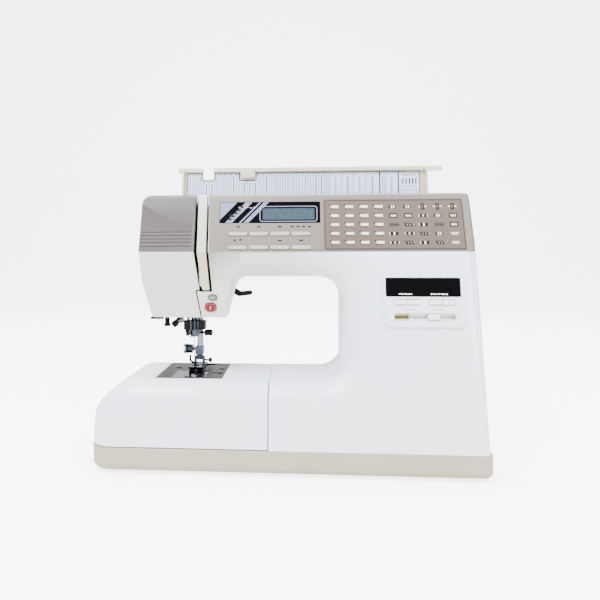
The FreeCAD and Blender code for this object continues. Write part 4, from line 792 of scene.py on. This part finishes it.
outline = [(chart_left, paper_low), (chart_left, paper_high)]
for start, end, depth in notches:
    outline += [(start, paper_high), (start, paper_high - depth + 2), (start + 2, paper_high - depth),
                (end - 2, paper_high - depth), (end, paper_high - depth + 2), (end, paper_high)]
outline += [(chart_right, paper_high), (chart_right, paper_low)]
NARROW = 26
edges = list(np.linspace(chart_left, 168.3, NARROW + 1)) + [183.0, 197.8, 212.8, 237.7]
columns = [bar(a, (paper_low + under_notch(a)) / 2, 0.5, under_notch(a) - paper_low) for a in edges[1:]]
columns += [bar(a, (paper_low + paper_high) / 2, 1.5, paper_high - paper_low) for a in (230.0, 253.0)]
ON_PAPER = 0.08
lines = stroke(outline, 1.0) + columns
print_on("chart_lines", OPEN_LID, lines, "lid_ivory", "chart_line", ON_PAPER, "lid", 0.08)

# %% [markdown]
# Each column shows its stitch as a run of one small shape. A random draw from a fixed seed picks
# the shape, so the chart looks busy and is the same each time.

# %% Signs in the chart, drawn from a fixed random seed
rng = np.random.default_rng(11)
signs = []


def column_signs(centre, width, kind, top):
    """One column of the chart: a run of one stitch shape up to top, over slanted marks for its settings."""
    for b in np.arange(12.5, top - 3.0, 2.1):
        if kind == 0:
            signs.append(bar(centre, b, 1.0, 1.3))
        elif kind == 1:
            signs.append(bar(centre + (0.7 if int(b) % 2 else -0.7), b, 2.0, 0.9, 0.3))
        elif kind == 2:
            signs.append(dot(centre, b, 0.95, 6))
        elif kind == 3:
            signs.extend([bar(centre - 1.1, b, 0.8, 1.4), bar(centre + 1.1, b, 0.8, 1.4)])
        else:
            signs.append([(centre - 1.1, b - 0.8), (centre + 1.0, b), (centre - 1.1, b + 0.8)])
    signs.extend([bar(centre - 1.3, 8.2, 1.1, 4.2, 0.4), bar(centre + 1.2, 8.2, 1.0, 3.6, -0.4)])
    if width > 10:
        signs.extend([bar(centre - 2.6, 8.4, 1.4, 2.6, 0.9), bar(centre + 2.6, 8.4, 1.4, 2.6, -0.9)])


for a0, a1 in zip(edges[:NARROW], edges[1:NARROW + 1]):
    column_signs((a0 + a1) / 2, a1 - a0, int(rng.integers(0, 5)), under_notch((a0 + a1) / 2))
WIDE = (168.3, 183.0), (183.0, 197.8), (197.8, 212.8), (212.8, 229.0), (231.0, 237.7), (237.7, 252.0)
for a0, a1 in WIDE:
    column_signs((a0 + a1) / 2, a1 - a0, int(rng.integers(2, 5)), paper_high - 2)
signs += [bar(a, 30.5, 1.5, 7.5) for a in np.linspace(258.5, 274.5, 5)]
signs += [bar(a, b, 1.2, 2.0, 0.8) for b in (6.0, 10.5, 19.0) for a in np.linspace(258.0, 275.0, 5)]
signs += [bar(266.5, b, 17.0, 0.5) for b in (24.0, 37.5, 39.6)]
print_on("chart_signs", OPEN_LID, signs, "lid_ivory", "chart_ink", ON_PAPER, "lid", 0.06)
print("chart columns", NARROW + len(WIDE), "signs", len(signs))

# %% [markdown]
# ## Speed tablet and the two round buttons
#
# The tablet carries a glossy black window, two rocking key pairs and a speed slide. The slide
# runs in a long well, and a shutter under it moves with it. At rest the shutter covers all but
# the left end of the slot, where the yellowed floor and the backing under it can be seen.

# %% Tablet
TABLET_TOP = 2.2
WINDOW_TOP = 1.95


def on_column(outline):
    """Outline drawn in x and height above the table, moved to the column's own frame."""
    return np.array(outline) - (0.0, COLUMN_FOOT)


window = rounded((218.8, 188.0), (296.2, 207.7), 1.2)
add_mesh("tablet_window", tiles(COLUMN, [on_column(window)], 1.35, WINDOW_TOP), "machine", "display_black")
letters = [*np.arange(233, 246, 2.0), *np.arange(266, 283, 2.0)]
words = [bar(a, 190.6, 1.5, 1.0 + 0.5 * (i % 2)) for i, a in enumerate(letters)]
words = [on_column(word) for word in words]
print_on("tablet_words", COLUMN, words, "display_black", "ink_white", WINDOW_TOP, depth=0.05)
labels = [bar(a, 174.2, 1.1, 0.9) for a in (*np.arange(238, 249, 1.9), *np.arange(267, 277, 1.9))]
labels = [on_column(label) for label in labels]
print_on("tablet_labels", COLUMN, labels, "body_white", "chart_line", TABLET_TOP, depth=0.05)
for centre, body, name in ((240.4, "width_keys", "width"), (276.6, "length_keys", "length")):
    minus, plus = centre - 6.5, centre + 6.5
    marks = [bar(minus, 182.0, 2.2, 0.45), bar(plus, 182.0, 2.2, 0.45), bar(plus, 182.0, 0.45, 2.2)]
    marks = [on_column(mark) for mark in marks]
    print_on(name + "_signs", COLUMN, marks, "key_ivory", "chart_line", TABLET_TOP + 1.4, body, 0.05)


# %% [markdown]
# The well is a slot between two ledges. Its left end has yellowed and the rest is white, so the
# ledges are made in two lengths that meet where the shutter starts.

# %% Well of the speed slide
def oblong(left, right, low, high):
    """Rectangle on the column, by its sides."""
    return on_column([(left, low), (right, low), (right, high), (left, high)])


WELL = (225.8, 243.0, 291.2)
ledges = (161.9, 164.8), (168.3, 171.2)
yellow, white = ([oblong(start, end, *ledge) for ledge in ledges] for start, end in zip(WELL, WELL[1:]))
add_mesh("well_floor_left", tiles(COLUMN, yellow, -1.6, -0.75), "machine", "body_white", "well_yellow")
add_mesh("well_floor", tiles(COLUMN, white, -1.6, -0.75), "machine", "body_white", "slider_white")
backing = oblong(WELL[0] - 1.0, WELL[1] + 1.0, 163.6, 169.5)
add_mesh("well_backing", tiles(COLUMN, [backing], -7.4, -6.6), "machine", "body_white", "well_yellow")
shutter = oblong(WELL[1], 291.0, 164.4, 168.7)
add_mesh("slide_shutter", tiles(COLUMN, [shutter], -4.2, -3.4), "slider", "slider_white")
SLIDE_X, KNOB_TOP = 267.3, 3.7
ridges = [on_column(bar(SLIDE_X + 1.5 * i, 166.55, 0.5, 4.6)) for i in range(-3, 4)]
print_on("slide_ridges", COLUMN, ridges, "slider_white", "slider_white", KNOB_TOP, "slider", 0.25)

# %% [markdown]
# Each button on the head has a thin ring inside its rim: a band between two rounded outlines. A
# cream tongue parts the thread slots, and a dark line shows where the side cover ends.


# %% Rings on the head buttons, and the tongue between the thread slots
def pill(centre, size):
    """Outline with round ends on the head; centre is in x and height above the table."""
    middle, half = np.array(centre) - (0.0, HEAD_TOP), np.array(size) / 2
    return rounded(middle - half, middle + half, min(half) - 0.05, 8)


outer, inner = (pill((28.9, 172.0), size) for size in ((12.2, 9.2), (10.0, 7.2)))
add_mesh("start_ring", band(HEAD, outer, inner, 1.1, 1.5), "start_stop", "button_red", "ring_pink")
strokes = [bar(28.9, -61.4, 0.55, 2.4), bar(28.9, -63.6, 1.6, 0.5)]
print_on("start_sign", HEAD, strokes, "button_red", "ink_white", 1.2, "start_stop", 0.1)
outer, inner = (pill((31.5, 183.2), size) for size in ((9.3, 5.5), (7.4, 3.7)))
add_mesh("needle_ring", band(HEAD, outer, inner, 1.1, 1.45), "needle_button", "button_green", "ring_green")
tongue = [(20.5, -42.0), (27.7, -42.0), (24.8, -0.5), (15.3, -0.5)]
print_on("slot_tongue", HEAD, [tongue], "body_white", "tongue_ivory", SURFACE)
seams = stroke([(16.8, -42.9), (13.0, -43.2), (18.1, -72.4)], 1.5)
seams += stroke([(17.5, -43.0), (30.6, -43.0)], 1.2)
print_on("cover_seam", HEAD, seams, "body_white", "seam_shadow", SURFACE, depth=0.03)
LIP_FRONT = 4.0
lip = [bar(272.0, 46.6, 26.0, 2.2)]
print_on("lip_mark", OPEN_LID, lip, "lid_ivory", "well_yellow", LIP_FRONT, "lid", 0.15)


# %% [markdown]
# ## Round the needle
#
# Wire, turned knobs and pressed steel make up the needle area. Wires are tubes swept along a
# bent line; knobs and screws are turned from a profile of distances and radii.

# %% Tubes and turned parts
def tube(points, radius, sides=10):
    """Closed tube: at each point a ring r (cos t u + sin t v), with u and v square to the line."""
    line = np.array(points, float)
    along = np.gradient(line, axis=0)
    along /= np.linalg.norm(along, axis=1, keepdims=True)
    spare = np.array([0.3, 1.0, 0.2]) if abs(along[0][1]) < 0.8 else np.array([1.0, 0.2, 0.3])
    u = np.cross(along, spare)
    u /= np.linalg.norm(u, axis=1, keepdims=True)
    v = np.cross(along, u)
    turn = full_turn(sides)[None, :, None]
    rings = line[:, None] + radius * (np.cos(turn) * u[:, None] + np.sin(turn) * v[:, None])
    return metres(rings.reshape(-1, 3)), lengthwise(len(line), sides)


def lengthwise(rings, sides):
    """Faces that join rings of vertices one after another, with a flat cap at each end."""
    numbers = np.arange(rings * sides).reshape(rings, sides)
    return walls(numbers) + [numbers[0, ::-1].tolist(), numbers[-1].tolist()]


def turned(start, along, profile, sides=24):
    """Turned part: ring of radius r at distance d from start along the axis for each (d, r)."""
    axis = np.array(along, float) / np.linalg.norm(along)
    spare = np.array([0.0, 0.0, 1.0]) if abs(axis[2]) < 0.8 else np.array([1.0, 0.0, 0.0])
    u = np.cross(axis, spare)
    u /= np.linalg.norm(u)
    v = np.cross(axis, u)
    turn = full_turn(sides)[:, None]
    distance, radius = np.array(profile, float).T[:, :, None, None]
    rings = np.array(start, float) + distance * axis + radius * (np.cos(turn) * u + np.sin(turn) * v)
    return metres(rings.reshape(-1, 3)), lengthwise(len(profile), sides)


def level_face(z):
    """Frame that lies flat at height z: a runs right and b to the back."""
    return Face(0.0, z, 90.0)


def joined(*shapes):
    """Several (vertices, faces) pairs as one."""
    places, faces, start = [], [], 0
    for vertices, polygons in shapes:
        places.append(np.asarray(vertices))
        faces += [[start + i for i in polygon] for polygon in polygons]
        start += len(vertices)
    return np.concatenate(places), faces


# %% [markdown]
# The needle clamp carries a bent plate over a row of bars, and a wire eye for the thread. All of
# it goes up and down with the needle bar, so it rides on that body.

# %% Thread guides on the needle bar
FRONT_OF_BLOCK = Face(-9.0, 0.0, 0.0)
leaf = [(-8.0, -9.4), (8.5, -9.4), (14.5, -4.0), (12.0, 3.0), (-8.0, 3.0)]
plate = tiles(level_face(155.4), [leaf], 0.0, 1.2)
riser = tiles(level_face(151.8), [bar(-7.0, -2.0, 2.0, 7.0), bar(8.0, -2.0, 2.0, 5.0)], 0.0, 3.8)
add_mesh("guide_plate", joined(plate, riser), "needle_bar", "steel")
bars = [bar(-2.3, 146.0, 1.1, 11.6), bar(2.6, 146.4, 0.9, 10.8), bar(6.4, 146.4, 0.9, 10.8)]
add_mesh("guide_bars", tiles(FRONT_OF_BLOCK, bars, -0.3, 0.8), "needle_bar", "steel")
cheek = tiles(FRONT_OF_BLOCK, [bar(-6.6, 142.0, 5.0, 8.4)], -0.4, 0.6)
add_mesh("guide_cheek", cheek, "needle_bar", "steel", "dark_steel")
eye = [(-4.5, -6.0, 137.0), (-4.8, -8.4, 134.5), (-3.0, -9.2, 132.6), (-0.4, -8.6, 132.8),
       (0.6, -6.2, 133.4)]
add_mesh("thread_wire", tube(eye, 0.45), "needle_bar", "steel", "chrome", smooth=True)
print("guide bars", len(bars), "wire points", len(eye))

# %% [markdown]
# The buttonhole lever and the threader end in small sleeves. The foot has a curved hook, and the
# foot screw a knurled head, which is made of thin rods set round a circle.

# %% Buttonhole lever sleeve, thread cutter and foot details
profile = [(0, 2.6), (0.2, 3.5), (1.6, 3.5), (1.9, 3.1), (3.0, 3.1), (3.3, 3.7), (6.8, 3.7), (7.4, 3.1)]
sleeve = turned((-17.6, -9.6, 151.6), (7.6, 2.0, 3.4), profile)
add_mesh("buttonhole_sleeve", sleeve, "buttonhole", "chrome", smooth=True)
blade = [(-40.5, -47.0), (-27.0, -47.0), (-27.0, -40.0), (-36.0, -40.0)]
cutter = tiles(level_face(158.6), [blade], 0.0, 2.6)
add_mesh("thread_cutter", cutter, "machine", "black_plastic")
profile = [(0, 3.0), (0.5, 3.6), (3.2, 3.5), (4.0, 2.9), (15.0, 2.9)]
threader = turned((-31.2, -10.0, 145.6), (0, 0, 1), profile)
add_mesh("threader_sleeve", threader, "threader", "black_plastic", smooth=True)
tip = turned((-24.2, -11.0, 146.4), (7.6, 2.0, 6.0), [(0, 2.6), (0.6, 3.8), (5.6, 4.1), (6.2, 3.4)])
add_mesh("buttonhole_tip", tip, "buttonhole", "black_plastic", smooth=True)
cheek = tiles(level_face(141.5), [[(10.6, -8.8), (14.6, -8.0), (14.6, 3.8), (10.6, 4.4)]], 0.0, 10.6)
add_mesh("block_cheek", cheek, "needle_bar", "black_plastic")
turn = np.linspace(math.pi, 1.62 * math.pi, 8)
hook = [(-6.2, 4.6, 107.5)] + [(-1.0 + 5.2 * math.cos(t), 4.6, 103.0 + 4.6 * math.sin(t)) for t in turn]
add_mesh("foot_hook", tube(hook, 1.35), "foot", "black_plastic", smooth=True)
RIGHTWARD = (1, 0, 0)
SCREW_Y, SCREW_Z = 11.0, 114.5
groove = turned((-10.4, SCREW_Y, SCREW_Z), RIGHTWARD, [(0, 5.45), (0.05, 5.75), (0.8, 5.75), (0.85, 5.45)])
add_mesh("foot_screw_groove", groove, "foot_screw", "steel", "dark_steel", smooth=True)


def ribs_round(x, y, z, radius, profile, count):
    """Small six-sided rods along x, evenly round a circle of that radius in y and z."""
    rods = [turned((x, y + radius * math.cos(t), z + radius * math.sin(t)), RIGHTWARD, profile, 6)
            for t in full_turn(count)]
    return joined(*rods)


knurl = ribs_round(-15.0, SCREW_Y, SCREW_Z, 5.4, [(0, 0.45), (5.0, 0.45)], 28)
add_mesh("foot_screw_knurl", knurl, "foot_screw", "steel")
print("hook points", len(hook), "knurl vertices", len(knurl[0]))

# %% [markdown]
# Two slotted screws hold the needle plate, and fine lines on it guide the fabric. A driver slot is
# narrow and in shadow, so a dark bar set into the head is enough for it.


# %% Screws and lines on the needle plate
def screw_head(place, along, radius, height=0.8):
    """Head turned from a three-point profile, and its driver slot as a dark box set into its top, a painted
    shade for the slot's dark inside.
    """
    head = turned(place, along, [(-0.5, radius), (height * 0.7, radius), (height, radius * 0.86)], 20)
    axis = np.array(along, float)
    side = np.array([1.0, 0.0, 0.0]) if abs(axis[0]) < 0.5 else np.array([0.0, 1.0, 0.0])
    other = np.cross(axis, side)
    corners = [np.array(place) + axis * c + side * a * radius * 0.8 + other * b * radius * 0.14
               for c in (height - 0.2, height + 0.03) for a, b in ((-1, -1), (1, -1), (1, 1), (-1, 1))]
    numbers = np.arange(8).reshape(2, 4)
    return head, (metres(corners), [[3, 2, 1, 0], [4, 5, 6, 7], *walls(numbers)])


PLATE_TOP = 94.0
pairs = [screw_head((x, y, PLATE_TOP), (0, 0, 1), 3.1, 0.7) for x, y in ((-19.0, -2.0), (35.0, -7.0))]
heads, grooves = zip(*pairs)
add_mesh("plate_screws", joined(*heads), "machine", "dark_steel", "steel", smooth=True)
add_mesh("plate_screw_slots", joined(*grooves), "machine", "dark_steel", "black_plastic")
lines = [bar(x, -9.0, 0.35, 13.0) for x in (14.5, 19.5, 24.5, 29.5)]
lines += [bar(x, -40.0, 0.35, 20.0) for x in (-20.0, -23.0)]
print_on("plate_lines", level_face(PLATE_TOP), lines, "dark_steel", "ink_dark", SURFACE, depth=0.04)
print("plate lines", len(lines))

# %% [markdown]
# ## Back, wheel and underside
#
# Screws hold the casing halves and the base pan. The handwheel has a cap over its end and a ribbed
# rim for the fingers, made as the knurl was.

# %% Wheel ribs and cap
WHEEL_Y, WHEEL_Z = 35.0, 240.0
rib = [(0, 0.25), (0.5, 0.5), (10.5, 0.5), (11.0, 0.25)]
rim = ribs_round(325.5, WHEEL_Y, WHEEL_Z, 32.95, rib, 72)
add_mesh("wheel_ribs", rim, "drive", "body_white", "slider_white", smooth=True)
profile = [(0, 10.5), (0.8, 10.5), (1.4, 9.8), (1.4, 4.0), (1.0, 3.6)]
cap = turned((338.6, WHEEL_Y, WHEEL_Z), RIGHTWARD, profile, 36)
add_mesh("wheel_cap", cap, "drive", "body_white", "pan_ivory", smooth=True)
print("rib vertices", len(rim[0]))

# %% Screws on the back and under the base
backs = [(x, 76.0, z) for x, z in ((205.0, 60.0), (300.0, 60.0), (300.0, 215.0), (-20.0, 255.0))]
unders = [(x, y, 3.0) for x in (0.0, 250.0) for y in (-60.0, 50.0)]
for name, places, along, radius in (("back", backs, (0, 1, 0), 3.6), ("base", unders, (0, 0, -1), 4.0)):
    heads, grooves = zip(*[screw_head(place, along, radius) for place in places])
    add_mesh(name + "_screws", joined(*heads), "machine", "steel", smooth=True)
    add_mesh(name + "_screw_slots", joined(*grooves), "machine", "black_plastic")

# %% [markdown]
# ## Camera, floor and light
#
# The camera stands in front of the machine, between the needle and the column and a little above
# the middle of its height. It is level, and its lens is shifted, so upright edges stay upright.

# %% Camera
camera_data = bpy.data.cameras.new("camera")
camera_data.lens, camera_data.sensor_width = 27.0, 36.0
camera_data.shift_x, camera_data.shift_y = 0.0633, -0.0617
camera = bpy.data.objects.new("camera", camera_data)
camera.location = metres((114.43, -550.47, 222.25))
camera.rotation_euler = (math.radians(90), 0, math.radians(3.2))
bpy.context.scene.collection.objects.link(camera)
bpy.context.scene.camera = camera


# %% [markdown]
# The floor is one sheet that curves up into a backdrop. It glows for the camera only, so it looks
# nearly white without lighting the machine from below.


# %% Floor that runs up into a backdrop
def cove(half_width, depth, radius, height):
    """Profile that runs flat to the back, turns up through a quarter circle and ends upright."""
    turn = np.linspace(0, math.pi / 2, 24)
    y = np.concatenate([[-depth], depth - radius + radius * np.sin(turn), [depth]])
    z = np.concatenate([[0], radius - radius * np.cos(turn), [height]])
    left = np.stack([np.full_like(y, -half_width), y, z], axis=1)
    right = left * (-1, 1, 1)
    count = len(y)
    rows = np.arange(count - 1)
    faces = np.stack([rows, rows + count, rows + count + 1, rows + 1], axis=1)
    mesh = bpy.data.meshes.new("floor")
    mesh.from_pydata(np.concatenate([left, right]).tolist(), [], faces.tolist())
    mesh.shade_smooth()
    return bpy.data.objects.new("floor", mesh)


floor = cove(6.0, 3.0, 1.2, 5.0)
floor_material, floor_tree, floor_shader, floor_place = start_material("floor_paper")
mottle = ramp(floor_tree, noise(floor_tree, floor_place, 4.0).outputs["Fac"], 0.3, 0.7)
tone = blend_colours(floor_tree, mottle, srgb("#f3f3f2"), srgb("#efefee"))
floor_tree.links.new(tone.outputs["Result"], floor_shader.inputs["Base Color"])
floor_shader.inputs["Roughness"].default_value = 0.9
floor_shader.inputs["Emission Color"].default_value = (1.0, 1.0, 1.0, 1.0)
seen = add_node(floor_tree, "LightPath").outputs["Is Camera Ray"]
CAMERA_GLOW = 4.0
glow = maths(floor_tree, "MULTIPLY", seen, CAMERA_GLOW)
floor_tree.links.new(glow, floor_shader.inputs["Emission Strength"])
floor.data.materials.append(floor_material)
bpy.context.scene.collection.objects.link(floor)
floor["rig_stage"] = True


# %% [markdown]
# Three large soft lights stand round the machine: the key at the upper left, a weaker fill at the
# right, and one over the back for the top edges. A plain white world fills the shadows.


# %% Lights
def soft_light(name, place, target, size, power):
    """Square area light of that size in metres, aimed from place to target."""
    data = bpy.data.lights.new(name, "AREA")
    data.shape, data.size, data.energy = "SQUARE", size, power
    light = bpy.data.objects.new(name, data)
    light.location = place
    aim = np.array(target, float) - np.array(place, float)
    level = math.hypot(aim[0], aim[1])
    light.rotation_euler = (math.atan2(level, -aim[2]), 0, math.atan2(-aim[0], aim[1]))
    bpy.context.scene.collection.objects.link(light)


MIDDLE = (0.0, 0.0, 0.15)
soft_light("key_light", (-0.7, -1.1, 2.0), MIDDLE, 1.2, 150)
soft_light("fill_light", (1.4, -1.1, 1.3), MIDDLE, 1.4, 50)
soft_light("top_light", (0.1, 0.5, 2.0), MIDDLE, 1.6, 95)
world = bpy.data.worlds.new("studio")
world.use_nodes = True
world.node_tree.nodes["Background"].inputs["Color"].default_value = (1.0, 1.0, 1.0, 1.0)
world.node_tree.nodes["Background"].inputs["Strength"].default_value = 0.85
bpy.context.scene.world = world

# %% Sizes
looks_low, looks_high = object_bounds()
for label, extent in (("looks", looks_high - looks_low), ("cad", cad_high - cad_low)):
    print(label, [round(v, 4) for v in extent])
